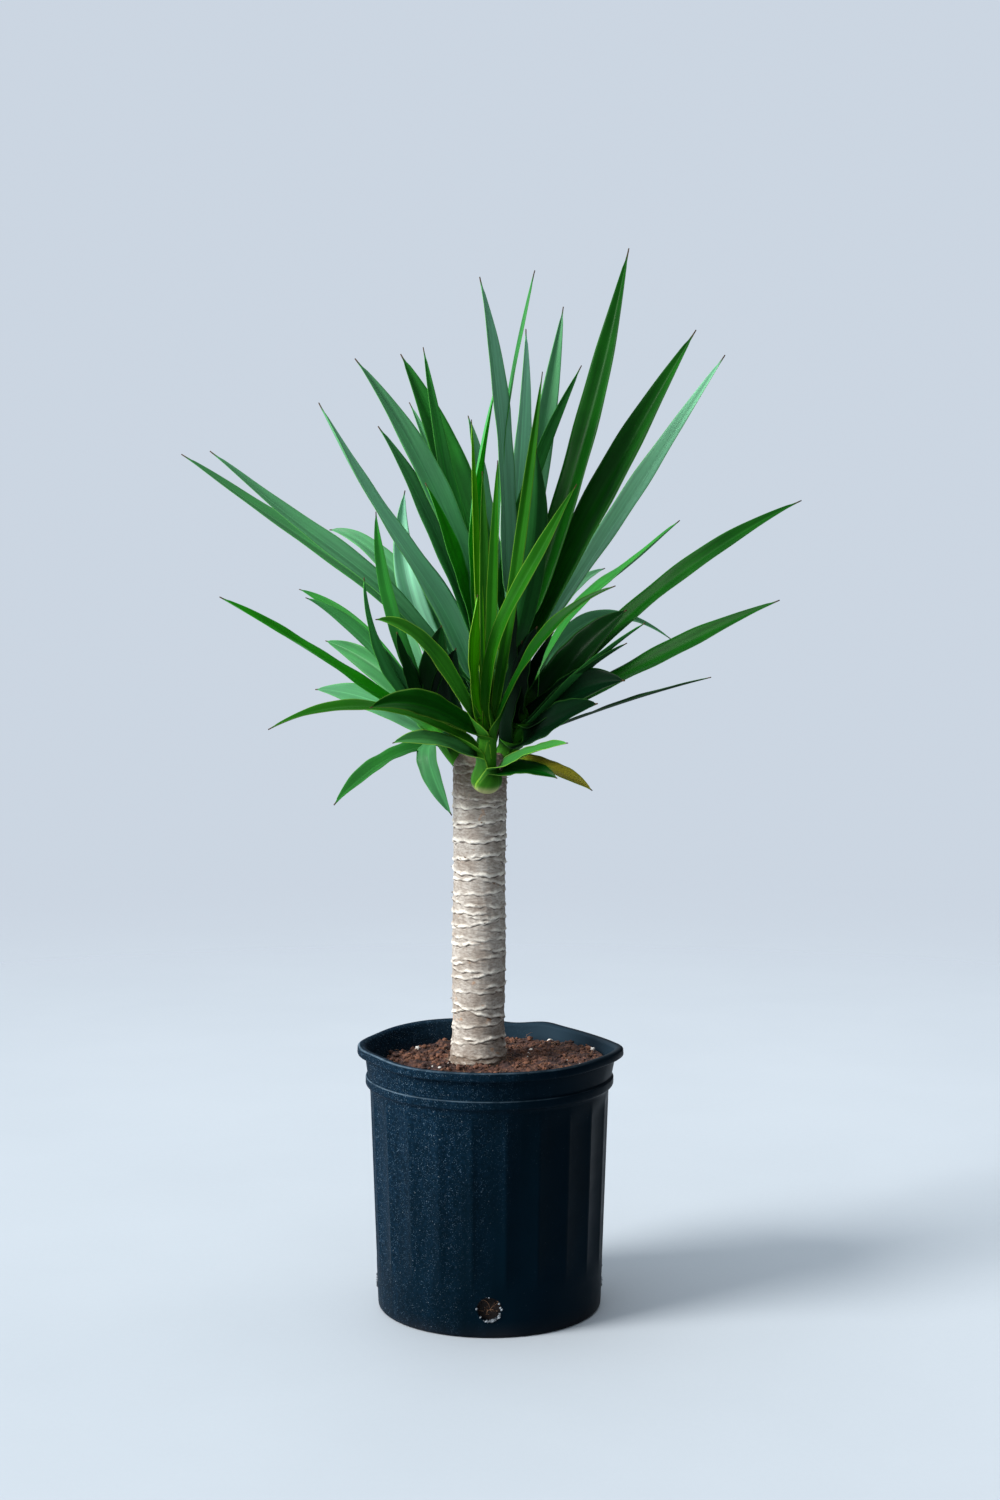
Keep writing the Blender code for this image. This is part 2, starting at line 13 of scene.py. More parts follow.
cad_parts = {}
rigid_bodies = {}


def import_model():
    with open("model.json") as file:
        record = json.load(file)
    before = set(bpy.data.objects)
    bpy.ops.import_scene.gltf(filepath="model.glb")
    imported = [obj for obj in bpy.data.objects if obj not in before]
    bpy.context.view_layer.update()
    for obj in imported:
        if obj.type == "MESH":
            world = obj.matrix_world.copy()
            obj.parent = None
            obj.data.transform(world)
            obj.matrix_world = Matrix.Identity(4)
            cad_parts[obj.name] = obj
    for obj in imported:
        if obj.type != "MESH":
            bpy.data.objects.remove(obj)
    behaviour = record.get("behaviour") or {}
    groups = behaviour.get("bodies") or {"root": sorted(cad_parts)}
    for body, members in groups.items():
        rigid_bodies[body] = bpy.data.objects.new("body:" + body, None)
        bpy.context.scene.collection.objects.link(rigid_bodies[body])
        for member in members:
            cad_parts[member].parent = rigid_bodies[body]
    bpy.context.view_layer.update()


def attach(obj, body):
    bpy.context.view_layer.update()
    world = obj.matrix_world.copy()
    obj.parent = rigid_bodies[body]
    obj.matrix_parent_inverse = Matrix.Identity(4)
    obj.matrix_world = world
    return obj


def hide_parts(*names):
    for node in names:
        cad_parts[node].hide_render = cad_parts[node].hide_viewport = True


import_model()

MM = 0.001
TAU = 2 * math.pi
GOLDEN_ANGLE = math.radians(137.508)
UP = np.array((0.0, 0.0, 1.0))

# Pot, as in the solids
POT_HEIGHT = 260 * MM
FOOT_FLAT_RADIUS = 107.0 * MM
FOOT_RADIUS = 110.5 * MM
FOOT_ROUND = 4.0 * MM
SHOULDER_RADIUS = 118.0 * MM
RIDGE_LOW = 219.5 * MM
RIDGE_HIGH = 232.0 * MM
RIDGE_RADIUS = 122.3 * MM
COLLAR_RADIUS = 120.5 * MM
COLLAR_FLARE = 3.0 * MM
COLLAR_BASE = 14.0 * MM
LIP_RADIUS = 131.0 * MM
LIP_DROOP = 8.5 * MM
WALL = 2.4 * MM
FLOOR = 2.6 * MM
FLUTES = 22
FLUTE_DEPTH = 2.6 * MM
# Bends of the lip: direction and spread in degrees, then millimetres outward and up
LIP_BENDS = (
    (0, 9, 2.5, 0.0),
    (30, 30, -3.0, -4.0),
    (-33, 18, -3.5, 0.5),
    (62, 7, 0.0, 1.5),
    (79, 9, -1.5, -2.5),
    (118, 25, 0.0, 2.5),
    (155, 12, -2.5, 0.0),
    (180, 9, 0.0, 1.0),
    (-152, 18, -5.0, 1.5),
)
DRAIN_HOLES = 4
DRAIN_RADIUS = 11.5 * MM
DRAIN_HEIGHT = 29.0 * MM

# Soil and cane, as in the solids
SOIL_HEIGHT = 243.0 * MM
SOIL_SLOPE = 0.032
SOIL_LUMPS = 2.4 * MM
SOIL_HEAP = 3.0 * MM
SOIL_EDGE = 114.0 * MM
CANE_FOOT = Vector((-12.0, 0.0, 100.0)) * MM
CANE_TOP = Vector((-9.0, 0.0, 549.0)) * MM
CANE_RADIUS = 26.3 * MM

# Blades in millimetres, as in the solids
BLADE_THICKNESS = 0.9
BLADE_STEPS = 7
SHORT_BLADE_STEPS = 5
LONG_BLADE = 300
BLADE_ROOT_DEPTH = 4.0
NECK_WIDTH = 0.52
BLADE_WAVE = 1.5
FULL_WAVE_WIDTH = 24
BACK_SPREAD = math.radians(42)
BACK_SEED = 7

# Fineness of the looks: steps, rings and sides of each mesh
FLUTE_STEPS = 16
CUTTER_SIDES = 40
SOIL_RINGS, SOIL_SIDES = 86, 300
THREAD_STEPS, THREAD_SIDES = 7, 4
CANE_ROWS, CANE_SIDES, CAP_RINGS = 420, 190, 12
LEAF_ROWS, LEAF_COLUMNS, SHEATH_ROWS = 46, 12, 12
STEM_ROWS, STEM_SIDES = 34, 36

# How many loose pieces of each kind
BURR_SHARDS, LOW_BURR_SHARDS = 34, 24
CRUMBS, FIBRES, HOLE_ROOTS, SMALL_GRAINS = 1500, 420, 16, 18
FRAYED_FIBRES, LOW_FRAYED_FIBRES = 90, 55

# Light mineral grains that stand out on the soil: place and size in millimetres
LARGE_GRAINS = [(-73, 62, 2.4), (12, 72, 2.2), (62, 88, 2.6), (103, 30, 2.4)]

# Relief of the bark
SCAR_SPACING = 6.4 * MM
SCAR_RELIEF = 1.45 * MM
CRACK_RELIEF = 0.7 * MM
BARK_RELIEF = 0.16 * MM

# Fine leaves, with lengths in millimetres and the rest as shares
CLASP, YOUNG_CLASP = 0.16, 0.34
RIPPLE = 0.0175
CHANNEL_ROUND = 0.03
SHEATH_LENGTH = 15
SHEATH_WRAP = 1.9
NECK_BLEND = 0.12
MARGIN_THICKNESS, MIDRIB_THICKNESS = 0.35, 0.90
WAIST_HEIGHT, WAIST_DEPTH = 15, 0.27

# Studio, in metres
BACKGROUND = (0.60, 0.67, 0.76)
BACKGROUND_LIGHT = (0.80, 0.90, 1.0)
BRIGHT_SIDE = (-0.74, -0.05, 0.67)
KEY_DIRECTION = (2.45, 1.15, -1.55)
FLOOR_RADIUS, FLOOR_SIDES = 9, 96
FLOOR_FADE = (0.7, 3.2)
CAMERA_PLACE = (0.0105, -2.233, 0.729)
CAMERA_TILT = math.radians(85.46)

# Looks of a leaf: greenness from dark to bright, paleness, age. Greenness and paleness are partly
# painted light: the dark and black looks paint the shade on blades deep in the crown, and the
# bright and pale looks paint light, sheen and light shining through on blades turned from the lamps
BLACK = (0.0, 0.0, 0.0)
DEEP = (0.04, 0.0, 0.0)
DARK = (0.14, 0.0, 0.0)
DUSK = (0.26, 0.03, 0.0)
MID = (0.42, 0.06, 0.0)
BRIGHT = (0.62, 0.0, 0.0)
GLOW = (0.95, 0.0, 0.0)
SHEEN = (0.32, 0.14, 0.0)
SOFT = (0.38, 0.29, 0.0)
PALE = (0.45, 0.62, 0.0)
MILKY = (0.60, 1.0, 0.0)
OLD = (0.55, 0.0, 1.0)

# Each stem: foot, top, and the radius of each. Each blade: height of its root as a share of the
# stem, tip, bow of its middle, width, roll, twist, looks, and its sway where it has one. Lengths
# are in millimetres and angles in degrees.
Blade = namedtuple("Blade", "height tip bow width roll twist looks sway",
                   defaults=(None, (0, 0, 0)))

SHOOTS = {
    "shoot_front": {
        "stem": ((-3, -38, 526), (-1, -48, 566), 12.6, 9.0),
        "blades": [
            (0.95, (81, -110, 806), (-22, 0, 8), 20, 25, 20, DARK, (-5, 0, 3)),
            (0.80, (-104, -120, 682), (2, -6, 30), 24, 40, 0, MID),
            (0.75, (116, -130, 713), (-14, 0, 22), 20, 35, 0, DEEP),
            (0.45, (-90, -95, 566), (0, 0, 11), 22, 30, 0, SOFT),
            (0.60, (-206, -100, 579), (0, -6, 33), 20, 12, 0, DARK),
            (0.20, (73, -120, 568), (0, 0, 4), 22, 25, 0, SHEEN),
            (0.95, (50, -70, 912), (2, -3, 0), 13, 15, 0, DARK),
            (0.98, (-16, -65, 868), (-1, 0, 0), 9, 0, 0, BRIGHT),
            (1.00, (-6, -58, 820), (0, 0, 0), 12, 0, 0, DUSK),
            (1.00, (8, -62, 830), (0, 0, 0), 12, 30, 0, DARK),
            (0.90, (-10, -78, 704), (-9, 0, 0), 24, 20, 0, GLOW),
            (0.12, (64, -96, 533), (0, 0, 7), 24, 25, 0, BLACK),
            (0.95, (-110, -112, 600), (0, 0, 17), 32, 40, 0, DEEP),
        ],
    },
    "shoot_left": {
        "stem": ((-25, 2, 538), (-64, -4, 590), 9.5, 6.5),
        "blades": [
            (0.80, (-191, 70, 708), (0, 4, 20), 16, 0, 0, MID),
            (0.75, (-176, -30, 701), (0, 0, 18), 16, 10, 0, MID),
            (0.55, (-256, -50, 702), (0, 0, 4), 26, 35, 0, BRIGHT),
            (0.60, (-168, 110, 655), (0, 6, 14), 26, 20, 0, SHEEN),
            (0.45, (-173, 40, 609), (0, 0, 12), 28, 30, 0, SOFT),
            (0.80, (-109, -20, 783), (-11, 0, 0), 18, 60, 0, DUSK),
            (0.60, (-119, -50, 720), (-14, 0, -6), 26, 60, 0, BRIGHT),
            (0.90, (-88, -52, 668), (0, -4, 4), 30, 30, 0, DEEP),
            (0.45, (-36, -44, 492), (-18, -16, 22), 28, 0, 0, SHEEN),
            (0.40, (-148, -60, 504), (0, 0, 16), 28, 30, 0, DUSK),
            # Painted shade: these three near-black blades stand for the shade in the hollow behind
            # the young shoot
            (0.95, (-46, -24, 674), (0, 0, 0), 32, 80, 0, DEEP),
            (0.20, (-42, -24, 628), (0, 0, 0), 34, 80, 0, BLACK),
            (0.75, (-32, -26, 652), (0, 0, 0), 30, 80, 0, BLACK),
        ],
    },
    "shoot_right": {
        "stem": ((12, 2, 538), (34, -8, 588), 9.5, 6.5),
        "blades": [
            (0.85, (300, -20, 794), (-6, 0, 18), 26, 0, 0, DARK),
            (0.65, (275, -60, 699), (0, 0, 4), 28, 8, 0, DARK),
            (0.45, (207, -100, 628), (0, 0, 4), 14, -15, 0, DEEP),
            (0.95, (187, 30, 776), (-6, 0, 26), 25, -50, 0, MID, (0, 0, 10)),
            (0.90, (187, 120, 656), (-14, 10, 54), 20, 18, 0, SOFT),
            (0.90, (132, -30, 689), (0, 0, 8), 38, 45, 0, DEEP),
            (0.35, (144, -120, 679), (0, -5, 8), 14, 10, 0, DARK),
            (0.50, (128, -108, 660), (0, -3, 8), 14, 10, 0, DEEP),
            # Painted shade: the black blades from here on, all but the old one, stand for the shade
            # under the young and centre shoots
            (0.60, (126, -110, 625), (0, -4, 14), 42, 80, 0, BLACK),
            (0.30, (100, -130, 605), (0, -6, 4), 41, 75, 0, BLACK),
            (0.75, (46, -70, 674), (-12, 0, 2), 40, 10, 0, BLACK),
            (0.85, (24, -50, 706), (-6, -2, 0), 34, 0, 0, BLACK),
            (0.15, (98, -70, 519), (0, 0, 6), 20, 35, 0, OLD),
            (0.10, (32, -50, 660), (-6, 0, 0), 34, 0, 0, BLACK),
            (0.45, (62, -42, 668), (-8, 0, 6), 36, 20, 0, BLACK),
        ],
    },
    "shoot_centre": {
        "stem": ((-6, 14, 538), (20, 34, 665), 9.5, 7.0),
        "blades": [
            (0.60, (138, 70, 1045), (11, 10, 0), 33, 60, 0, DARK),
            (0.55, (206, 80, 966), (-4, 12, 2), 37, 50, 0, DARK),
            (0.50, (239, 120, 945), (1, 14, 0), 30, 10, 20, PALE),
            (0.90, (-9, 30, 1012), (11, 0, 0), 32, 72, 0, PALE),
            (0.70, (45, 45, 1020), (-18, 5, 0), 24, 25, -15, BRIGHT),
            (0.35, (6, 40, 905), (-22, 0, 0), 34, 30, 0, GLOW),
            (0.80, (37, 110, 970), (4, 6, 0), 28, 0, 0, MILKY),
            (0.75, (74, 90, 990), (2, 6, 0), 26, 20, 0, SOFT),
            (0.65, (92, 72, 930), (-22, 0, 0), 22, 60, 0, MID),
            (0.65, (45, 4, 845), (12, -6, 0), 38, 10, 0, DARK),
            (0.60, (-133, 60, 936), (20, 0, 6), 37, 55, 0, SOFT),
            (0.50, (-109, 35, 868), (10, 0, 6), 33, 55, 0, SHEEN),
            (0.70, (-90, 110, 945), (14, 6, 6), 40, 60, 0, DUSK),
            (0.55, (-66, 80, 949), (-4, 4, 0), 20, 60, 0, MID),
            (0.80, (-82, 130, 898), (6, 6, 0), 20, 40, 0, SOFT),
            (0.28, (-165, 8, 889), (10, 0, 2), 38, 80, -60, PALE, (6, 0, 4)),
            (0.40, (-62, 12, 812), (6, 0, 2), 32, 50, 0, BRIGHT),
            (0.30, (-84, 62, 806), (-31, 4, 0), 28, 75, 0, MILKY),
            (0.20, (-270, 0, 842), (6, 0, 29), 26, 55, 0, SOFT, (4, 0, 8)),
            (0.28, (-306, 60, 842), (5, 6, 27), 24, 50, 0, SHEEN, (4, 0, 6)),
            (0.34, (-163, 110, 768), (-8, 0, 44), 28, 55, 0, SOFT),
        ],
    },
}
# Blades at the back of a shoot: tries, length in millimetres, lowest and highest rise in degrees
BACK_BLADES = {
    "shoot_left": (5, 170, 5, 50),
    "shoot_right": (5, 170, 0, 45),
    "shoot_centre": (7, 270, 12, 68),
}
# Degrees by which thin leaves turn more of their face to the front than in the solids
OPENED = {("shoot_right", 0): 22, ("shoot_right", 1): 24, ("shoot_right", 2): 24}


# ---------------------------------------------------------------- meshes

def new_object(name, data, place=(0, 0, 0), turn=(0, 0, 0)):
    """New object in the scene for a mesh, a light or the camera."""
    obj = bpy.data.objects.new(name, data)
    obj.location, obj.rotation_euler = place, turn
    bpy.context.scene.collection.objects.link(obj)
    return obj


def mesh_object(name, points, faces, material, smooth=True, **values):
    """Mesh object riding on the root, with one float or vector value per point for its material."""
    mesh = bpy.data.meshes.new(name)
    mesh.from_pydata(np.asarray(points, float).tolist(), [], faces)
    mesh.materials.append(material)
    if smooth:
        mesh.shade_smooth()
    for key, value in values.items():
        value = np.asarray(value, float)
        kind, field = ("FLOAT_VECTOR", "vector") if value.ndim == 2 else ("FLOAT", "value")
        mesh.attributes.new(key, kind, "POINT").data.foreach_set(field, value.ravel())
    obj = new_object(name, mesh)
    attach(obj, "root")
    return obj


def grid_faces(rows, columns, start=0, closed=False, flip=False):
    """Quads of a grid of points stored row by row."""
    faces = []
    for i in range(rows - 1):
        for j in range(columns if closed else columns - 1):
            a = start + i * columns + j
            b = start + i * columns + (j + 1) % columns
            quad = (a, b, b + columns, a + columns)
            faces.append(quad[::-1] if flip else quad)
    return faces


def tube_faces(rings, sides):
    """Quads of a tube of rings, with a face over each end."""
    ends = [tuple(reversed(range(sides))), tuple(range((rings - 1) * sides, rings * sides))]
    return grid_faces(rings, sides, closed=True) + ends


def shell_faces(rows, columns):
    """Faces of a thin shell: a grid of upper points, its lower one and the edge between them."""
    size = rows * columns
    faces = grid_faces(rows, columns, flip=True) + grid_faces(rows, columns, start=size)
    for i in range(rows - 1):
        a, b = i * columns, (i + 1) * columns
        faces.append((a, a + size, b + size, b))
        a, b = a + columns - 1, b + columns - 1
        faces.append((b, b + size, a + size, a))
    for j in range(columns - 1):
        faces.append((j, j + 1, j + 1 + size, j + size))
        a = (rows - 1) * columns + j
        faces.append((a + 1, a, a + size, a + 1 + size))
    return faces


def polar(radius, angle):
    return radius * math.cos(angle), radius * math.sin(angle)


def spoke(angle):
    """Outward and sideways direction at an angle round the upright axis."""
    x, y = polar(1.0, angle)
    return np.array((x, y, 0.0)), np.array((-y, x, 0.0))


def drain_spokes():
    """The same two directions at each drain hole, the first one in front."""
    return [spoke(-math.pi / 2 + TAU * k / DRAIN_HOLES) for k in range(DRAIN_HOLES)]


class Parts:
    """Points, faces and per-point values gathered into one mesh."""

    def __init__(self):
        self.points = []
        self.faces = []
        self.values = {}
        self.count = 0

    def add(self, points, faces, **values):
        points = np.asarray(points, float).reshape(-1, 3)
        self.points.append(points)
        self.faces += [tuple(k + self.count for k in face) for face in faces]
        for key, value in values.items():
            value = np.asarray(value, float)
            if value.ndim == 0:
                value = np.full(len(points), float(value))
            self.values.setdefault(key, []).append(value)
        self.count += len(points)

    def build(self, name, material, smooth=True):
        values = {key: np.concatenate(parts) for key, parts in self.values.items()}
        points = np.concatenate(self.points)
        return mesh_object(name, points, self.faces, material, smooth, **values)


# ---------------------------------------------------------------- materials

class Nodes:
    """Nodes of one tree, added with their settings and with linked or set sockets."""

    def __init__(self, tree):
        self.tree = tree

    def add(self, kind, sockets=(), **settings):
        node = self.tree.nodes.new(kind)
        for key, value in settings.items():
            setattr(node, key, value)
        for key, value in dict(sockets).items():
            self.feed(node.inputs[key], value)
        return node

    def feed(self, socket, value):
        if isinstance(value, bpy.types.NodeSocket):
            self.tree.links.new(value, socket)
        elif isinstance(value, tuple) and socket.type == "RGBA" and len(value) == 3:
            socket.default_value = (*value, 1.0)
        else:
            socket.default_value = value


class Look(Nodes):
    """A material built from nodes, around one Principled shader."""

    def __init__(self, name):
        self.material = bpy.data.materials.new(name)
        self.material.use_nodes = True
        super().__init__(self.material.node_tree)
        self.shader = self.tree.nodes["Principled BSDF"]

    def value(self, name, output="Fac"):
        return self.add("ShaderNodeAttribute", attribute_name=name).outputs[output]

    def place(self):
        return self.add("ShaderNodeTexCoord").outputs["Object"]

    def texture(self, kind, place, scale, sockets):
        """Texture node with one scale, or with three that stretch it."""
        if isinstance(scale, tuple):
            node = self.add("ShaderNodeVectorMath", {0: place, 1: scale}, operation="MULTIPLY")
            place, scale = node.outputs[0], 1.0
        return self.add(kind, {"Vector": place, "Scale": scale, **sockets})

    def noise(self, place, scale, detail=3.0, roughness=0.55):
        sockets = {"Detail": detail, "Roughness": roughness}
        return self.texture("ShaderNodeTexNoise", place, scale, sockets).outputs["Fac"]

    def cells(self, place, scale):
        return self.texture("ShaderNodeTexVoronoi", place, scale, {}).outputs["Distance"]

    def ramp(self, value, *stops):
        """Smooth ramp through (position, grey or colour) stops."""
        node = self.add("ShaderNodeValToRGB", {"Fac": value})
        elements = node.color_ramp.elements
        while len(elements) < len(stops):
            elements.new(0.5)
        for element, (position, colour) in zip(elements, stops):
            element.position = position
            element.color = (*colour, 1) if isinstance(colour, tuple) else (colour,) * 3 + (1,)
        return node.outputs["Color"]

    def math(self, operation, a, b=0.0, clamp=False):
        node = self.add("ShaderNodeMath", {0: a, 1: b}, operation=operation, use_clamp=clamp)
        return node.outputs[0]

    def sum(self, a, b, clamp=False):
        return self.math("ADD", a, b, clamp)

    def times(self, a, b, clamp=False):
        return self.math("MULTIPLY", a, b, clamp)

    def scaled(self, value, factor, offset=0.0):
        sockets = {0: value, 1: factor, 2: offset}
        return self.add("ShaderNodeMath", sockets, operation="MULTIPLY_ADD").outputs[0]

    def dim(self, colour, factor):
        sockets = {0: colour, "Scale": factor}
        return self.add("ShaderNodeVectorMath", sockets, operation="SCALE").outputs[0]

    def mix(self, share, a, b):
        # The sockets of a mix of two colours: its share and both colours, and its result
        return self.add("ShaderNodeMix", {0: share, 6: a, 7: b}, data_type="RGBA").outputs[2]

    def coats(self, colour, *layers):
        """Colour under coats of (share, paint), from the lowest to the topmost."""
        for share, paint in layers:
            colour = self.mix(share, colour, paint)
        return colour

    def done(self, colour, roughness, relief, strength, distance):
        """The material, given its colour, roughness and relief."""
        sockets = {"Height": relief, "Strength": strength, "Distance": distance}
        normal = self.add("ShaderNodeBump", sockets).outputs["Normal"]
        for key, value in {"Base Color": colour, "Roughness": roughness, "Normal": normal}.items():
            self.feed(self.shader.inputs[key], value)
        return self.material


def leaf_look(name, dark, bright, pale, under, edge, base, rim):
    """Glossy strap leaf from dark to bright green or pale, which partly paints the shade and light
    on
    each blade: fine lengthwise veins, a thin light margin, a paler back, a yellow-green foot, and
    age that browns it from margins and tip."""
    look = Look(name)
    along = look.value("along")
    side = look.math("ABSOLUTE", look.value("across"))
    grain = look.value("grain", "Vector")
    back = look.value("under")
    veins = look.noise(grain, (450, 6, 1), 2.0)
    bands = look.noise(grain, (170, 5, 1))
    cloud = look.noise(grain, (30, 22, 1))
    tone = look.times(look.value("tone"), look.scaled(cloud, 1.2, 0.4), clamp=True)
    # Painted light: how lit the blade is painted, from its tone and paleness, which pales its back
    glow = look.sum(look.scaled(look.value("tone"), 1.1), look.value("pale"), clamp=True)
    colour = look.coats(
        look.mix(tone, dark, bright),
        (look.value("pale"), pale),
        (look.times(look.scaled(back, 0.7), glow), under))
    # Bands, veins and the lighter midrib scale the colour instead of veiling it
    detail = look.sum(look.scaled(bands, 1.1, 0.45), look.scaled(veins, 0.5, -0.25))
    detail = look.sum(detail, look.ramp(side, (0.0, 0.35), (0.06, 0.0)))
    foot = look.sum(along, look.scaled(cloud, 0.08))
    # Ageing spreads from the margins and the tip
    wear_and_highlight = look.sum(look.scaled(side, 0.35), look.scaled(cloud, 0.9))
    wear_and_highlight = look.sum(wear_and_highlight, look.scaled(along, 0.35))
    wear_and_highlight = look.times(look.ramp(wear_and_highlight, (0.42, 0.0), (0.78, 1.0)), look.value("old"))
    rust = look.times(look.ramp(bands, (0.52, 0.0), (0.68, 0.6)), wear_and_highlight)
    # A thin margin and a few dry specks are lighter, and brighter still with the painted light of
    # the blade, and the tip is a brown thread
    lit = look.scaled(glow, 0.75, 0.12)
    margin = look.ramp(side, (1 - 1.6 * rim, 0.0), (1 - 0.5 * rim, 0.85))
    specks = look.ramp(look.cells(grain, (60, 25, 1)), (0.02, 0.4), (0.04, 0.0))
    colour = look.coats(
        look.dim(colour, detail),
        (look.ramp(foot, (0.0, 1.0), (0.05, 0.85), (0.20, 0.0)), look.dim(base, detail)),
        (look.value("cream"), look.dim((0.40, 0.42, 0.17), detail)),
        (wear_and_highlight, (0.25, 0.23, 0.02)),
        (rust, (0.20, 0.08, 0.012)),
        (look.times(margin, lit), edge),
        (look.times(specks, lit), (0.25, 0.32, 0.18)),
        (look.ramp(along, (0.972, 0.0), (0.990, 1.0)), (0.07, 0.04, 0.02)))
    look.shader.inputs["Specular IOR Level"].default_value = 0.12
    look.shader.inputs["IOR"].default_value = 1.34
    gloss = look.sum(look.scaled(cloud, 0.22, 0.27), look.scaled(back, 0.14))
    relief = look.sum(look.scaled(veins, 0.15), look.scaled(bands, 0.9))
    return look.done(colour, gloss, relief, 0.16, 0.5 * MM)


def plastic_look():
    """Navy-black moulded plastic with dust specks thickest at the left, partly painted light on
    that side, and a painted highlight along the ridge and lip.
    """
    look = Look("pot plastic")
    place = look.place()
    where = look.add("ShaderNodeSeparateXYZ", {0: place}).outputs
    broad = look.noise(place, 9.0)
    streak = look.noise(place, (60, 60, 3))
    # Dust film, specks and grit, thinner toward the right and the foot: partly real dust, and
    # partly painted light on the left side, where the light falls
    dust_and_painted_light = look.sum(look.scaled(where[0], -6.6, 0.17), look.scaled(where[2], 2.08, -0.192))
    dust_and_painted_light = look.sum(dust_and_painted_light, look.scaled(streak, 0.9, -0.45))
    dust_and_painted_light = look.ramp(dust_and_painted_light, (0.10, 0.01), (0.45, 0.30), (0.95, 1.0))
    film = look.noise(place, 320.0, 4.0, 0.7)
    film = look.times(look.ramp(film, (0.40, 0.05), (0.72, 0.30)), dust_and_painted_light)
    speck = look.scaled(look.noise(place, 210.0, 2.0), 0.40)
    speck = look.math("SUBTRACT", speck, look.cells(place, 700.0))
    speck = look.times(look.ramp(speck, (0.0, 0.0), (0.08, 0.6)), dust_and_painted_light)
    grit = look.times(look.ramp(look.cells(place, 150.0), (0.04, 0.6), (0.08, 0.0)),
                      look.ramp(dust_and_painted_light, (0.05, 0.08), (0.6, 0.9)))
    # Painted highlight along the edges at the left, dust with painted light on the inside at the
    # back right, and soil at the foot and inside
    wear_and_highlight = look.times(look.ramp(look.value("edge"), (0.55, 0.0), (0.95, 1.0)),
                      look.ramp(streak, (0.35, 0.25), (0.65, 0.9)))
    wear_and_highlight = look.times(wear_and_highlight, look.scaled(where[0], -4.0, 0.45), clamp=True)
    dusty = look.times(look.value("dusty"), look.ramp(film, (0.0, 0.6), (0.3, 1.0)))
    soiled = look.times(look.value("soiled"), look.ramp(broad, (0.35, 0.1), (0.6, 0.7)))
    colour = look.coats(
        (0.0004, 0.0034, 0.0062),
        (look.ramp(broad, (0.35, 0.0), (0.7, 1.0)), (0.0006, 0.0056, 0.0110)),
        (film, (0.018, 0.062, 0.125)),
        (speck, (0.22, 0.33, 0.44)),
        (grit, (0.30, 0.36, 0.42)),
        (wear_and_highlight, (0.13, 0.19, 0.24)),
        (dusty, (0.075, 0.135, 0.19)),
        (soiled, (0.035, 0.026, 0.022)))
    look.shader.inputs["Specular IOR Level"].default_value = 0.08
    look.shader.inputs["Specular Tint"].default_value = (0.45, 0.75, 1.0, 1.0)
    look.shader.inputs["IOR"].default_value = 1.28
    gloss = look.scaled(look.noise(place, 60.0, 4.0), 0.2, 0.30)
    gloss = look.sum(gloss, look.scaled(dust_and_painted_light, 0.22))
    # The fine orange peel of moulded plastic, and the specks that stand on it
    relief = look.sum(look.scaled(look.noise(place, 420.0, 2.0), 0.25), speck)
    return look.done(colour, gloss, relief, 0.25, 0.3 * MM)


def bark_look():
    """Cream scar ridges on grey-beige bark, dark cracks under them, papery brown top and foot."""
    look = Look("cane bark")
    place = look.place()
    fine = look.noise(place, (230, 230, 598), 5.0, 0.65)
    broad = look.noise(place, 42.0)
    fibre = look.noise(place, (900, 900, 144), 2.0)
    cream = look.times(look.ramp(look.value("crest"), (0.15, 0.0), (0.72, 1.0)),
                       look.ramp(fine, (0.3, 0.45), (0.55, 1.0)))
    rust = look.noise(place, 75.0, 2.0)
    papery = look.times(look.value("dry"), look.ramp(fine, (0.3, 1.0), (0.7, 0.55)))
    colour = look.coats(
        (0.34, 0.285, 0.235),
        (look.ramp(broad, (0.35, 0.0), (0.68, 1.0)), (0.56, 0.51, 0.45)),
        (look.ramp(fine, (0.35, 0.7), (0.62, 0.0)), (0.15, 0.11, 0.085)),
        (cream, (0.86, 0.80, 0.70)),
        (look.ramp(look.value("crack"), (0.12, 0.0), (0.6, 0.95)), (0.060, 0.042, 0.032)),
        (look.ramp(fibre, (0.62, 0.0), (0.72, 0.35)), (0.16, 0.115, 0.085)),
        (look.ramp(rust, (0.66, 0.0), (0.76, 0.55)), (0.50, 0.22, 0.07)),
        (papery, (0.13, 0.085, 0.055)))
    relief = look.sum(look.scaled(fine, 0.9), look.scaled(fibre, 0.25))
    return look.done(colour, look.ramp(fine, (0.2, 0.95), (0.8, 0.78)), relief, 0.7, 0.9 * MM)


def soil_look():
    """Red-brown fibrous potting soil with orange clumps and near-black patches, and painted shade
    down in the pot.
    """
    look = Look("potting soil")
    place = look.place()
    clump = look.noise(place, 75.0, 4.0, 0.65)
    fine = look.noise(place, 620.0, 4.0, 0.7)
    colour = look.coats(
        look.ramp(clump, (0.34, (0.022, 0.009, 0.008)), (0.50, (0.075, 0.030, 0.022)),
                  (0.70, (0.24, 0.095, 0.045))),
        (look.ramp(fine, (0.38, 0.75), (0.6, 0.0)), (0.014, 0.007, 0.006)),
        (look.scaled(look.value("tint"), 0.55), (0.26, 0.11, 0.06)))
    # Painted shade: nearly black down in the pot
    depth = look.add("ShaderNodeSeparateXYZ", {0: place}).outputs[2]
    colour = look.dim(colour, look.ramp(depth, (0.08, 0.12), (0.20, 1.0)))
    return look.done(colour, look.ramp(fine, (0.2, 1.0), (0.8, 0.85)), fine, 0.9, 1.2 * MM)


def fibre_look(name, low, high):
    """Dry plant fibre or torn plastic, finely mottled between two colours."""
    look = Look(name)
    mottle = look.noise(look.place(), 300.0)
    colour = look.ramp(mottle, (0.35, low), (0.65, high))
    return look.done(colour, look.ramp(mottle, (0.3, 0.95), (0.7, 0.75)), mottle, 0.5, 0.4 * MM)


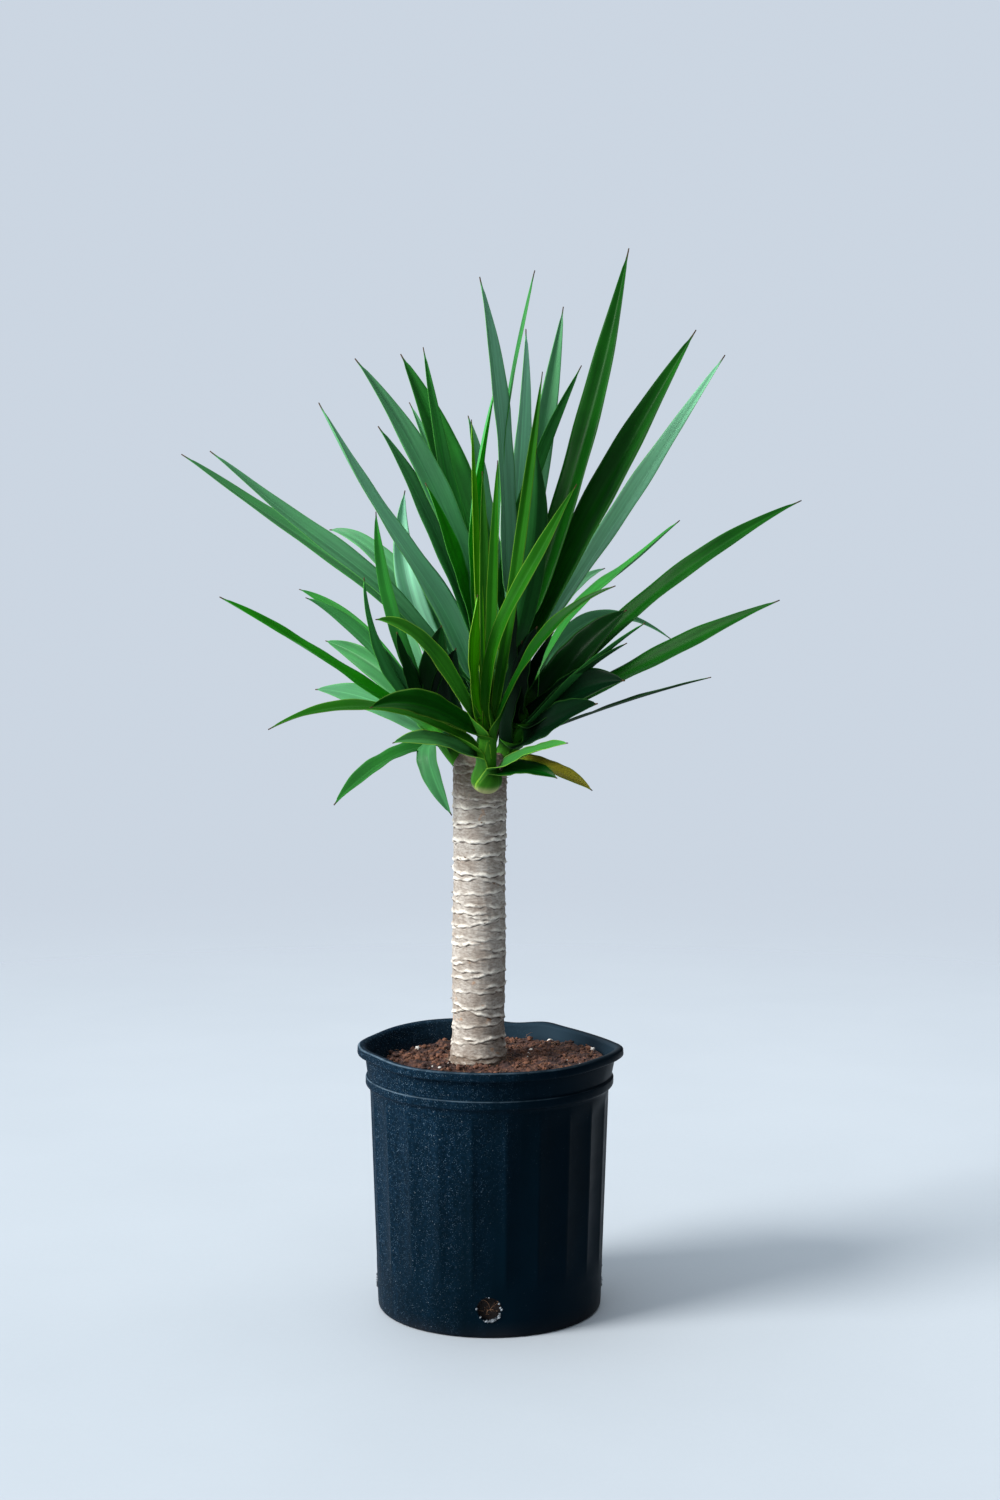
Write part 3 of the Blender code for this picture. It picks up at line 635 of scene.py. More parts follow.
def grain_look():
    """White porous mineral grains, a little stained."""
    look = Look("mineral grain")
    pores = look.noise(look.place(), 900.0, 4.0, 0.7)
    colour = look.ramp(pores, (0.3, (0.45, 0.40, 0.34)), (0.6, (0.82, 0.80, 0.76)))
    return look.done(colour, look.ramp(pores, (0.3, 0.95), (0.7, 0.8)), pores, 0.8, 0.6 * MM)


def floor_look():
    """Plain pale floor with the faintest unevenness, which fades into the background far off."""
    look = Look("pale floor")
    place = look.place()
    soft = look.ramp(look.noise(place, 3.0, 4.0), (0.35, 0.0), (0.65, 1.0))
    fine = look.noise(place, 160.0)
    colour = look.mix(soft, (0.47, 0.51, 0.55), (0.485, 0.525, 0.565))
    material = look.done(colour, look.ramp(fine, (0.3, 0.75), (0.7, 0.65)), fine, 0.08, 0.5 * MM)
    reach = look.add("ShaderNodeVectorMath", {0: place}, operation="LENGTH").outputs["Value"]
    near, far = FLOOR_FADE
    share = look.add("ShaderNodeMapRange", {"Value": reach, "From Min": near, "From Max": far},
                     interpolation_type="SMOOTHSTEP").outputs[0]
    gone = look.add("ShaderNodeBsdfTransparent").outputs[0]
    blend = look.add("ShaderNodeMixShader", {0: share, 1: look.shader.outputs[0], 2: gone})
    look.feed(look.tree.nodes["Material Output"].inputs["Surface"], blend.outputs[0])
    return material


# ---------------------------------------------------------------- leaves, as in the solids

def unit(v):
    return v / np.linalg.norm(v, axis=-1, keepdims=True)


def smooth(x):
    x = np.clip(x, 0, 1)
    return x * x * (3 - 2 * x)


def blade_width(t):
    """Width along a blade, as a share of its full width."""
    lower = NECK_WIDTH + (1 - NECK_WIDTH) * np.sin(np.pi * np.clip(t, 0, 0.5))
    upper = 1 - (2 * t - 1) ** 2
    return np.maximum(np.where(t > 0.5, upper, lower), 0.03)


def blade_fold(t):
    """Angle by which each half is folded up: most at the foot, and a little more at the tip."""
    return np.radians(20 + 34 * np.exp(-(t / 0.14) ** 2) + 12 * t ** 3)


def blade_wave(blade, t, phase):
    """Rise of one margin and fall of the other along a blade, less on a narrow one."""
    wave = BLADE_WAVE * np.sin(np.pi * t) * np.sin(3.2 * np.pi * t + phase)
    return wave * min(1.0, blade.width / FULL_WAVE_WIDTH)


def stem_axes(stem):
    """Foot, length and axis of a stem, and two directions square to the axis."""
    foot, top = np.array(stem[:2], float)
    axis = unit(top - foot)
    a = unit(np.cross(axis, (0, 1, 0)))
    return foot, np.linalg.norm(top - foot), axis, a, np.cross(axis, a)


def blade_frame(stem, blade, t):
    """Midrib points of a blade, with the directions across it and up from it."""
    foot, top = np.array(stem[:2], float)
    tip, bow, sway = np.array((blade.tip, blade.bow, blade.sway), float)
    axis = unit(top - foot)
    root = foot + (top - foot) * blade.height
    out = tip + bow * 2 - root
    out = unit(out - axis * (out @ axis))
    root = root + out * BLADE_ROOT_DEPTH
    knee = (root + tip) / 2 + bow * 2
    u = t[:, None]
    rib = root * (1 - u) ** 2 + knee * 2 * u * (1 - u) + tip * u ** 2
    rib = rib + sway * np.sin(2 * np.pi * u)
    along = (knee - root) * (1 - u) + (tip - knee) * u + sway * np.pi * np.cos(2 * np.pi * u)
    along = unit(along)
    across = unit(np.cross(axis, out))
    across = unit(across - (along @ across)[:, None] * along)
    up = np.cross(along, across)
    # Every blade rolls the same way as seen from the front
    middle = len(t) // 2
    side = 1.0 if np.cross(up[middle], (0, -1, 0)) @ along[middle] >= 0 else -1.0
    angle = np.radians(side * (blade.roll + blade.twist * t))[:, None]
    turned_up = up * np.cos(angle) + np.cross(along, up) * np.sin(angle)
    turned_across = across * np.cos(angle) + np.cross(along, across) * np.sin(angle)
    return rib, turned_across, turned_up


def blade_solid(stem, blade, phase, thickness=BLADE_THICKNESS):
    """The plain solid of a blade, which decides whether a blade at the back has room."""
    steps = BLADE_STEPS if math.dist(blade.tip, stem[0]) > LONG_BLADE else SHORT_BLADE_STEPS
    t = np.linspace(0, 1, steps + 1)
    rib, across, up = blade_frame(stem, blade, t)
    half = blade.width / 2 * blade_width(t)
    fold = blade_fold(t)
    wave = blade_wave(blade, t, phase)
    upper = []
    for share in (-1, 0, 1):
        side = across * (half * share * np.cos(fold))[:, None]
        rise = half * abs(share) * np.sin(fold) + wave * share
        upper.append(rib + side + up * rise[:, None])
    upper = np.stack(upper, 1)
    lower = upper - (up * (thickness / np.cos(fold))[:, None])[:, None, :]
    rings = np.concatenate([upper, lower[:, ::-1]], 1)
    count = rings.shape[1]
    faces = []
    for i in range(steps):
        for j in range(count):
            a, b = i * count + j, i * count + (j + 1) % count
            c, d = b + count, a + count
            faces += [(a, c, b), (a, d, c)] if j < 3 else [(a, d, b), (b, d, c)]
    for ring, turn in ((0, 1), (steps, -1)):
        for tri in ((0, 1, 4), (0, 4, 5), (1, 2, 3), (1, 3, 4)):
            faces.append(tuple(ring * count + k for k in tri[::turn]))
    return rings.reshape(-1, 3) * MM, faces


def stem_solid(stem, sides=12, swell=1.0):
    """The plain solid of a stem, swollen a little, so that other shoots' blades keep off it."""
    foot, length, axis, a, b = stem_axes(stem)
    r0, r1 = stem[2:]
    profile = []
    for k in range(1, 4):
        x, z = polar(r0, math.pi / 2 * k / 3)
        profile.append((-x, z))
    for k in range(1, 4):
        profile.append((length * k / 3, r0 + (r1 - r0) * k / 3))
    profile.append((length + r1 * 0.7, r1 * 0.7))
    points = []
    for height, radius in profile:
        for k in range(sides):
            x, y = polar(radius + swell, TAU * k / sides)
            points.append(foot + axis * height + a * x + b * y)
    points.append(foot - axis * (r0 + swell))
    points.append(foot + axis * (length + r1 + swell))
    faces = grid_faces(len(profile), sides, closed=True)
    low, high = len(points) - 2, len(points) - 1
    last = low - sides
    for k in range(sides):
        nxt = (k + 1) % sides
        faces += [(nxt, k, low), (last + k, last + nxt, high)]
    return np.array(points) * MM, faces


def tree_of(points, faces):
    return BVHTree.FromPolygons([tuple(p) for p in points], faces)


def back_blades(name, shoot, taken):
    """Blades of the spiral at the back of a shoot, without those that meet another shoot."""
    tries, length, low, high = BACK_BLADES[name]
    draw = random.Random(BACK_SEED + len(name))
    foot, top = np.array(shoot["stem"][:2], float)
    kept = []
    for k in range(tries):
        share = (k + 0.5) / tries
        height = 0.35 + 0.6 * share
        angle = math.pi / 2 + BACK_SPREAD * (1 - 0.6 * share) * math.sin(k * GOLDEN_ANGLE)
        rise = math.radians(low + (high - low) * share + draw.uniform(-5, 5))
        reach = length * draw.uniform(0.85, 1.1)
        out = np.array((*polar(math.cos(rise), angle), math.sin(rise)))
        tip = foot + (top - foot) * height + out * reach
        bow = (0, 0, reach * 0.09 * math.cos(rise))
        blade = Blade(height, tuple(tip), bow, draw.uniform(24, 32), 0, 0)
        tree = tree_of(*blade_solid(shoot["stem"], blade, k, 4 * BLADE_THICKNESS))
        if not any(tree.overlap(other) for other in taken):
            kept.append(blade)
    return kept


def shoot_blades():
    """Every blade of every shoot, the listed ones and those at the back."""
    blades = {name: [Blade(*row) for row in shoot["blades"]] for name, shoot in SHOOTS.items()}
    for name in BACK_BLADES:
        taken = []
        for other, shoot in SHOOTS.items():
            if other != name:
                taken.append(tree_of(*stem_solid(shoot["stem"])))
                for k, blade in enumerate(blades[other]):
                    taken.append(tree_of(*blade_solid(shoot["stem"], blade, k)))
        blades[name] += back_blades(name, SHOOTS[name], taken)
    return blades


# ---------------------------------------------------------------- fine leaves

def stem_radius(stem, h, front):
    """Radius of a stem at a height above its foot; the young shoot has a waist over its bulb."""
    length = math.dist(stem[0], stem[1])
    radius = stem[2] + (stem[3] - stem[2]) * np.clip(h / length, 0, 1)
    return radius * (1 - WAIST_DEPTH * smooth((h - 1) / WAIST_HEIGHT)) if front else radius


def creamy(h, radius):
    """How cream-coloured a bulb is at a height that is below its middle."""
    return float(smooth((-1 - h) / (0.6 * radius)))


def fine_leaf(parts, stem, blade, phase, looks, front):
    """One leaf: clasping sheath, channelled neck and folded, waved strap."""
    foot, stem_length, axis = stem_axes(stem)[:3]
    r0, width = stem[2], blade.width
    # Denser rows at both ends, where the leaf changes most
    t = np.linspace(0, 1, LEAF_ROWS + 1)
    t = t - 0.05 * np.sin(2 * np.pi * t)
    v = np.linspace(-1, 1, LEAF_COLUMNS + 1)
    rib, across, up = blade_frame(stem, blade, t)
    # The clasping foot is broader than the neck of the plain solid, and the tip is finer
    half = width / 2 * blade_width(t)
    half = np.where(t > 0.97, half * 0.7, half)
    half = half + width / 2 * (YOUNG_CLASP if front else CLASP) * np.exp(-(t / 0.16) ** 2)
    fold = blade_fold(t)
    ripple = RIPPLE * width * np.sin(np.pi * t) ** 2 * np.sin(11 * np.pi * t + 2.3 * phase)
    sharp = math.sqrt(CHANNEL_ROUND)
    channel = (np.sqrt(v * v + CHANNEL_ROUND) - sharp) / (math.sqrt(1 + CHANNEL_ROUND) - sharp)
    side = (half * np.cos(fold))[:, None] * v
    rise = (half * np.sin(fold))[:, None] * channel + ripple[:, None] * v ** 3
    rise = rise + blade_wave(blade, t, phase)[:, None] * v
    rise = rise - (0.10 * half * smooth(t * 3))[:, None] * v ** 4
    upper = rib[:, None] + across[:, None] * side[..., None] + up[:, None] * rise[..., None]
    # The sheath wraps the stem up to where the midrib leaves it or passes its end
    rel = rib - foot
    height = rel @ axis
    radial = rel - height[:, None] * axis
    reach = np.linalg.norm(radial, axis=1)
    layer = 0.3 + (2.4 if front else 1.0) * (1 - blade.height)
    skin = stem_radius(stem, height, front) + layer
    free = (reach > skin) | (height > stem_length - 1)
    start = max(1, min(int(np.argmax(free)), LEAF_ROWS // 3))
    out = unit(radial[start])
    turn = np.cross(axis, out)
    join_height, join_radius = height[start], skin[start]
    neck = half[start] / join_radius
    # The lowest leaves of the young shoot wrap its rounded foot
    wraps_bulb = front and blade.height < 0.7
    sheath = join_height + 0.86 * r0 if wraps_bulb else SHEATH_LENGTH + 0.35 * join_height

    def ring(h, angle, radius):
        around = out * np.cos(angle)[:, None] + turn * np.sin(angle)[:, None]
        return foot + axis * h + around * np.reshape(radius, (-1, 1))

    rows, cream = [], []
    for k in range(SHEATH_ROWS):
        u = k / SHEATH_ROWS
        h = join_height - sheath * (1 - u)
        angle = (SHEATH_WRAP * (1 - u) ** 0.8 + neck * (1 - (1 - u) ** 0.8)) * v
        radius = stem_radius(stem, h, front)
        if h < 0:
            radius = r0 * math.sqrt(1 - min(0.9, -h / r0) ** 2)
        lift = layer - (1 - u) ** 3 + (1.1 * min(1.0, 2 * u) - 0.5) * v ** 8
        rows.append(ring(h, angle, radius + lift))
        cream.append(creamy(h, r0) if front else 0.0)
    # Blend from the wrapped collar into the blade over a short neck
    for k in range(start, LEAF_ROWS + 1):
        blend = smooth((t[k] - t[start]) / NECK_BLEND)
        collar = ring(height[k], neck * v, max(reach[k], join_radius))
        rows.append(collar * (1 - blend) + upper[k] * blend)
    rows = np.array(rows)
    count, columns = rows.shape[:2]
    # Thickness along the true normal of the surface
    normal = np.cross(np.gradient(rows, axis=0), np.gradient(rows, axis=1))
    normal = normal / np.maximum(np.linalg.norm(normal, axis=-1, keepdims=True), 1e-9)
    if normal[count // 2, LEAF_COLUMNS // 2] @ up[LEAF_ROWS // 2] < 0:
        normal = -normal
    thick = MARGIN_THICKNESS + (MIDRIB_THICKNESS - MARGIN_THICKNESS) * (1 - v ** 2)
    lower = rows - normal * thick[None, :, None]
    size = count * columns
    length = np.linalg.norm(np.diff(rib, axis=0), axis=1).sum()
    t_rows = np.linspace(-0.04, t[start], SHEATH_ROWS, endpoint=False)
    t_rows = np.concatenate([t_rows, t[start:]])
    along = np.repeat(t_rows, columns)
    sideways = np.tile(v, count)
    # Each leaf has its own stretch of the grain, in metres across and along it
    seed = phase * 3.7
    grain = np.stack([sideways * np.repeat(np.interp(t_rows, t, half), columns) * MM + seed,
                      along * length * MM + seed, np.full(size, seed)], 1)
    cream = np.repeat(cream + [0.0] * (count - len(cream)), columns)
    tone, pale, old = looks
    both = lambda value: np.concatenate([value, value])
    parts.add(np.concatenate([rows.reshape(-1, 3), lower.reshape(-1, 3)]) * MM,
              shell_faces(count, columns), along=both(along), across=both(sideways),
              grain=both(grain), under=np.repeat((0.0, 1.0), size), cream=both(cream),
              tone=tone, pale=pale, old=old)


def fine_stem(parts, stem, front):
    """Smooth tapered stem between the sheaths, pale at its foot."""
    foot, length, axis, a, b = stem_axes(stem)
    r0, r1 = stem[2:]
    points, heights, cream = [], [], []
    for i in range(STEM_ROWS):
        share = i / (STEM_ROWS - 1)
        h = -r0 * 0.98 + (length + r0 * 0.98 + r1 * 0.95) * share
        # Both ends are rounded
        past, end = (-h, r0) if h < 0 else (max(0.0, h - length), r1)
        radius = stem_radius(stem, min(max(h, 0.0), length), front)
        radius = radius * math.sqrt(max(0.0, 1 - (past / end) ** 2))
        for k in range(STEM_SIDES):
            angle = TAU * k / STEM_SIDES
            x, y = polar(radius * (0.95 + 0.02 * math.sin(5 * angle + h * 0.5)), angle)
            points.append(foot + axis * h + a * x + b * y)
            heights.append(share)
            cream.append(creamy(h, r0))
    points = np.array(points) * MM
    parts.add(points, grid_faces(STEM_ROWS, STEM_SIDES, closed=True),
              along=np.array(heights) * 0.1 + 0.25, across=0.4, grain=points, under=0.0,
              cream=cream, tone=0.25 if front else 0.05, pale=0.0, old=0.0 if front else 0.8)


def build_shoots():
    mature = leaf_look("mature leaf", dark=(0.0004, 0.0080, 0.0020), bright=(0.022, 0.370, 0.006),
                       pale=(0.28, 0.64, 0.42), under=(0.080, 0.300, 0.120),
                       edge=(0.12, 0.46, 0.06), base=(0.060, 0.30, 0.012), rim=0.045)
    young = leaf_look("young leaf", dark=(0.0010, 0.040, 0.002), bright=(0.060, 0.380, 0.001),
                      pale=(0.14, 0.42, 0.20), under=(0.06, 0.30, 0.04),
                      edge=(0.40, 0.70, 0.06), base=(0.045, 0.20, 0.010), rim=0.07)
    blades = shoot_blades()
    bases = Parts()
    for number, (name, shoot) in enumerate(SHOOTS.items()):
        front = name == "shoot_front"
        parts = Parts()
        fine_stem(parts if front else bases, shoot["stem"], front)
        draw = random.Random(40 + number)
        for k, blade in enumerate(blades[name]):
            looks = blade.looks or (draw.uniform(0.1, 0.5), draw.uniform(0.0, 0.4), 0.0)
            blade = blade._replace(roll=blade.roll + OPENED.get((name, k), 0))
            fine_leaf(parts, shoot["stem"], blade, k, looks, front)
        piece = parts.build("leaves_" + name, young if front else mature)
        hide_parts(name)
    brown = fibre_look("old leaf bases", (0.018, 0.013, 0.007), (0.075, 0.045, 0.022))
    stems = bases.build("shoot_stems", brown)


# ---------------------------------------------------------------- pot

def lip_bend(angle):
    out, rise = 0.0, 0.0
    for centre, spread, bend_out, bend_up in LIP_BENDS:
        away = math.remainder(angle - math.radians(centre), TAU) / math.radians(spread)
        out += bend_out * MM * math.exp(-away * away)
        rise += bend_up * MM * math.exp(-away * away)
    return out, rise


def outer_radius(height):
    return FOOT_RADIUS + (SHOULDER_RADIUS - FOOT_RADIUS) * height / RIDGE_LOW


def inner_radius(height):
    return outer_radius(height) - FLUTE_DEPTH - WALL


def pot_profile():
    """Points of the pot's section from its foot outside to its floor inside, with the number of
    the first inside. Each has a radius, a height, and its shares of flute, lip bend and painted
    highlight."""
    profile = []

    def put(r, z, flute=0.0, bend=0.0, edge=0.0):
        profile.append((r, z, flute, bend, edge))

    def put_arc(r, z, radius, start, end, edges, bend=0.0):
        for k, edge in enumerate(edges):
            x, y = polar(radius, math.radians(start + (end - start) * k / (len(edges) - 1)))
            put(r + x, z + y, bend=bend, edge=edge)

    put(10 * MM, 1.2 * MM)
    put(96 * MM, 1.2 * MM)
    put(101 * MM, 0.0)
    put(FOOT_FLAT_RADIUS - 1 * MM, 0.0)
    put_arc(FOOT_RADIUS - FOOT_ROUND, FOOT_ROUND, FOOT_ROUND, -80, 0, (0.25,) * 6)
    for k in range(30):
        z = 10 * MM + (RIDGE_LOW - 12 * MM) * k / 29
        depth = smooth((z - 44 * MM) / (20 * MM)) * smooth((216 * MM - z) / (14 * MM))
        put(outer_radius(z), z, flute=float(depth))
    # Ridge
    put(SHOULDER_RADIUS + 0.1 * MM, RIDGE_LOW + 0.3 * MM)
    put_arc(RIDGE_RADIUS - 3 * MM, RIDGE_LOW + 5 * MM, 3 * MM, -60, 0, (0.15,) * 5, 0.15)
    put_arc(RIDGE_RADIUS - 2.2 * MM, RIDGE_HIGH - 2.6 * MM, 2.2 * MM, 0, 80,
            (0.3, 0.7, 1.0, 0.7, 0.3, 0.3), 0.2)
    put(COLLAR_RADIUS - 0.2 * MM, RIDGE_HIGH + 0.1 * MM, bend=0.25, edge=0.2)
    # Collar and lip
    lip_low = POT_HEIGHT - LIP_DROOP
    lip_start = COLLAR_RADIUS + COLLAR_FLARE
    put(COLLAR_RADIUS, RIDGE_HIGH + 1.2 * MM, bend=0.28)
    for k in range(1, 6):
        share = k / 6
        put(COLLAR_RADIUS + COLLAR_FLARE * share, RIDGE_HIGH + (lip_low - RIDGE_HIGH) * share,
            bend=0.28 + 0.52 * share)
    put(lip_start, lip_low, bend=0.85)
    put(LIP_RADIUS - 3.6 * MM, lip_low - 0.6 * MM, bend=1.0)
    put_arc(LIP_RADIUS - 1.8 * MM, lip_low + 1.4 * MM, 1.8 * MM, -80, 10, (0.45,) * 5, 1.0)
    put_arc(LIP_RADIUS - 3.2 * MM, POT_HEIGHT - 3 * MM, 3 * MM, 12, 100,
            (0.2, 0.45, 0.85, 1.0, 0.8, 0.4, 0.2), 1.0)
    # Inside
    first_inside = len(profile)
    put(lip_start, POT_HEIGHT - 0.8 * MM, bend=1.0, edge=0.2)
    put(lip_start - 1.6 * MM, POT_HEIGHT - 2.6 * MM, bend=0.95)
    for k in range(6):
        share = k / 5
        put(COLLAR_RADIUS + (1 - share) * MM - WALL * share,
            POT_HEIGHT - 4 * MM - (COLLAR_BASE - 4 * MM) * share, bend=0.9 - 0.3 * share)
    put(inner_radius(RIDGE_LOW) + 1.2 * MM, RIDGE_LOW + 6 * MM, bend=0.2)
    for k in range(6):
        z = RIDGE_LOW - (RIDGE_LOW - FLOOR - 4 * MM) * k / 5
        put(inner_radius(z), z)
    put(inner_radius(FLOOR) - 4 * MM, FLOOR)
    put(10 * MM, FLOOR)
    return profile, first_inside


def build_pot():
    profile, first_inside = pot_profile()
    around = FLUTES * FLUTE_STEPS
    bends = [lip_bend(TAU * k / around) for k in range(around)]
    points, edges, soiled, dusty = [], [], [], []
    for number, (r, z, flute, bend, edge) in enumerate(profile):
        inside = number >= first_inside
        splashed = max(0.0, 1 - z / (14 * MM)) * 0.4
        buried = 0.7 if inside and z < SOIL_HEIGHT + 3 * MM else 0.0
        dust = 0.30 if inside and z > SOIL_HEIGHT - 4 * MM else 0.0
        for k, (out, rise) in enumerate(bends):
            angle = TAU * k / around
            groove = math.sin(math.pi * (k % FLUTE_STEPS) / FLUTE_STEPS) ** 0.8
            soft = 0.15 * MM * math.sin(3 * angle + 1) + 0.1 * MM * math.sin(7 * angle + z * 60)
            radius = r - FLUTE_DEPTH * flute * groove + bend * (out + soft)
            points.append((*polar(radius, angle), z + bend * rise))
            edges.append(edge)
            soiled.append(max(splashed, buried))
            # Dust on the inner rim with painted light: lighter toward the back right, which faces
            # the light
            dusty.append(dust * max(0.0, math.cos(angle - 0.9)))
    pot = mesh_object("pot_shell", points, tube_faces(len(profile), around), plastic_look(),
                      edge=edges, soiled=soiled, dusty=dusty)
    cut_drains(pot)
    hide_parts("pot")
    build_flashing()


def cut_drains(pot):
    """Round drain holes, cut low in the wall."""
    cutters = bpy.data.collections.new("drain cutters")
    bpy.context.scene.collection.children.link(cutters)
    for k, (outward, sideways) in enumerate(drain_spokes()):
        points = []
        for end in (-16 * MM, 12 * MM):
            reach = outer_radius(DRAIN_HEIGHT) + end
            for i in range(CUTTER_SIDES):
                turn = TAU * i / CUTTER_SIDES
                x, z = polar(DRAIN_RADIUS * (1 + 0.015 * math.sin(3 * turn + k)), turn)
                point = outward * reach + sideways * x + UP * (DRAIN_HEIGHT + z)
                points.append(tuple(point))
        mesh = bpy.data.meshes.new("drain cutter")
        mesh.from_pydata(points, [], tube_faces(2, CUTTER_SIDES))
        cutters.objects.link(bpy.data.objects.new("drain cutter", mesh))
    cut = pot.modifiers.new("drain", "BOOLEAN")
    cut.operation = "DIFFERENCE"
    cut.operand_type = "COLLECTION"
    cut.collection = cutters
    cut.solver = "EXACT"
    mesh = bpy.data.meshes.new_from_object(pot.evaluated_get(bpy.context.evaluated_depsgraph_get()))
    pot.modifiers.clear()
    pot.data = mesh
    for obj in list(cutters.objects):
        bpy.data.objects.remove(obj, do_unlink=True)
    bpy.data.collections.remove(cutters)
    mesh.set_sharp_from_angle(angle=math.radians(50))


def build_flashing():
    """Torn pale burr left round each drain hole, heaviest at its lower right."""
    draw = random.Random(11)
    parts = Parts()
    # A shard has six corners, with a point outward and one into the wall
    faces = [(c, (c + 1) % 6, 6) for c in range(6)] + [((c + 1) % 6, c, 7) for c in range(6)]
    for outward, sideways in drain_spokes():
        centre = outward * outer_radius(DRAIN_HEIGHT) + UP * DRAIN_HEIGHT
        for i in range(BURR_SHARDS):
            low = i < LOW_BURR_SHARDS
            turn = math.radians(draw.gauss(-52, 34)) if low else draw.uniform(0, TAU)
            x, z = polar(DRAIN_RADIUS + draw.uniform(-0.8, 0.9) * MM, turn)
            spot = centre + sideways * x + UP * z
            size = draw.uniform(0.5, 1.7) * MM
            shard = []
            for corner in range(6):
                spin = TAU * corner / 6 + draw.uniform(-0.3, 0.3)
                x, z = polar(size * draw.uniform(0.5, 1.1), spin)
                lift = outward * draw.uniform(-0.2, 0.5) * MM
                shard.append(spot + sideways * x + UP * z + lift)
            shard.append(spot + outward * draw.uniform(0.5, 1.1) * MM)
            shard.append(spot - outward * MM)
            parts.add(shard, faces)
    torn = fibre_look("torn plastic", (0.010, 0.014, 0.020), (0.30, 0.33, 0.36))
    burr = parts.build("drain_burr", torn, smooth=False)


# ---------------------------------------------------------------- soil

def soil_surface(x, y):
    lumps = 0.5 * math.sin(70 * x + 1.2) * math.sin(55 * y + 0.4)
    lumps += 0.35 * math.sin(160 * x + 90 * y)
    cane = math.hypot(x - CANE_FOOT.x, y - CANE_FOOT.y)
    heap = SOIL_HEAP * math.exp(-(cane / CANE_RADIUS / 2) ** 2)
    return SOIL_HEIGHT + SOIL_LUMPS * lumps + SOIL_SLOPE * x + heap


def rough_soil(x, y):
    """Soil height with its clods."""
    p = Vector((x, y, 0.0))
    clods = noise.fractal(p * 70, 0.8, 2.2, 5)
    bumps = noise.fractal(p * 300 + Vector((3, 1, 2)), 0.7, 2.0, 4)
    return soil_surface(x, y) + 3.0 * MM * clods + 1.5 * MM * bumps


def soil_spots(draw, count, inset, clear):
    """Random places on the soil, some millimetres off its edge and clear of the cane."""
    for _ in range(count):
        angle = draw.uniform(0, TAU)
        x, y = polar((SOIL_EDGE - inset * MM) * math.sqrt(draw.uniform(0.05, 1)), angle)
        if math.hypot(x - CANE_FOOT.x, y) >= CANE_RADIUS + clear * MM:
            yield x, y


def ball():
    """Points and faces of a round ball of 42 points."""
    work = bmesh.new()
    bmesh.ops.create_icosphere(work, subdivisions=2, radius=1.0)
    points = np.array([v.co[:] for v in work.verts])
    faces = [tuple(v.index for v in f.verts) for f in work.faces]
    work.free()
    return points, faces


BALL = ball()


def lump(draw, centre, size, flat=0.8):
    """Small irregular clod."""
    points, faces = BALL
    scale = (draw.uniform(0.7, 1.3), draw.uniform(0.7, 1.3), draw.uniform(0.6, 1.1) * flat)
    x, y = polar(1.0, draw.uniform(0, TAU))
    turn = np.array([[x, -y, 0], [y, x, 0], [0, 0, 1]])
    waves = np.array([draw.uniform(3, 6) for _ in range(3)])
    rough = 1 + 0.38 * np.sin(points @ waves + draw.uniform(0, 6))[:, None]
    return centre + (points * rough * np.array(scale)) @ turn.T * size, faces


def thread(draw, start, heading, length, radius, droop):
    """Thin crooked fibre."""
    spot, heading = np.array(start, float), unit(np.array(heading, float))
    points = []
    for k in range(THREAD_STEPS + 1):
        a = unit(np.cross(heading, (0.3, 0.2, 0.93)))
        b = np.cross(heading, a)
        for i in range(THREAD_SIDES):
            x, y = polar(radius * (1 - 0.6 * k / THREAD_STEPS), TAU * i / THREAD_SIDES)
            points.append(spot + a * x + b * y)
        bend = (draw.uniform(-0.5, 0.5), draw.uniform(-0.5, 0.5), draw.uniform(-0.35, 0.35) - droop)
        heading = unit(heading + np.array(bend))
        spot = spot + heading * length / THREAD_STEPS
    return np.array(points), tube_faces(THREAD_STEPS + 1, THREAD_SIDES)


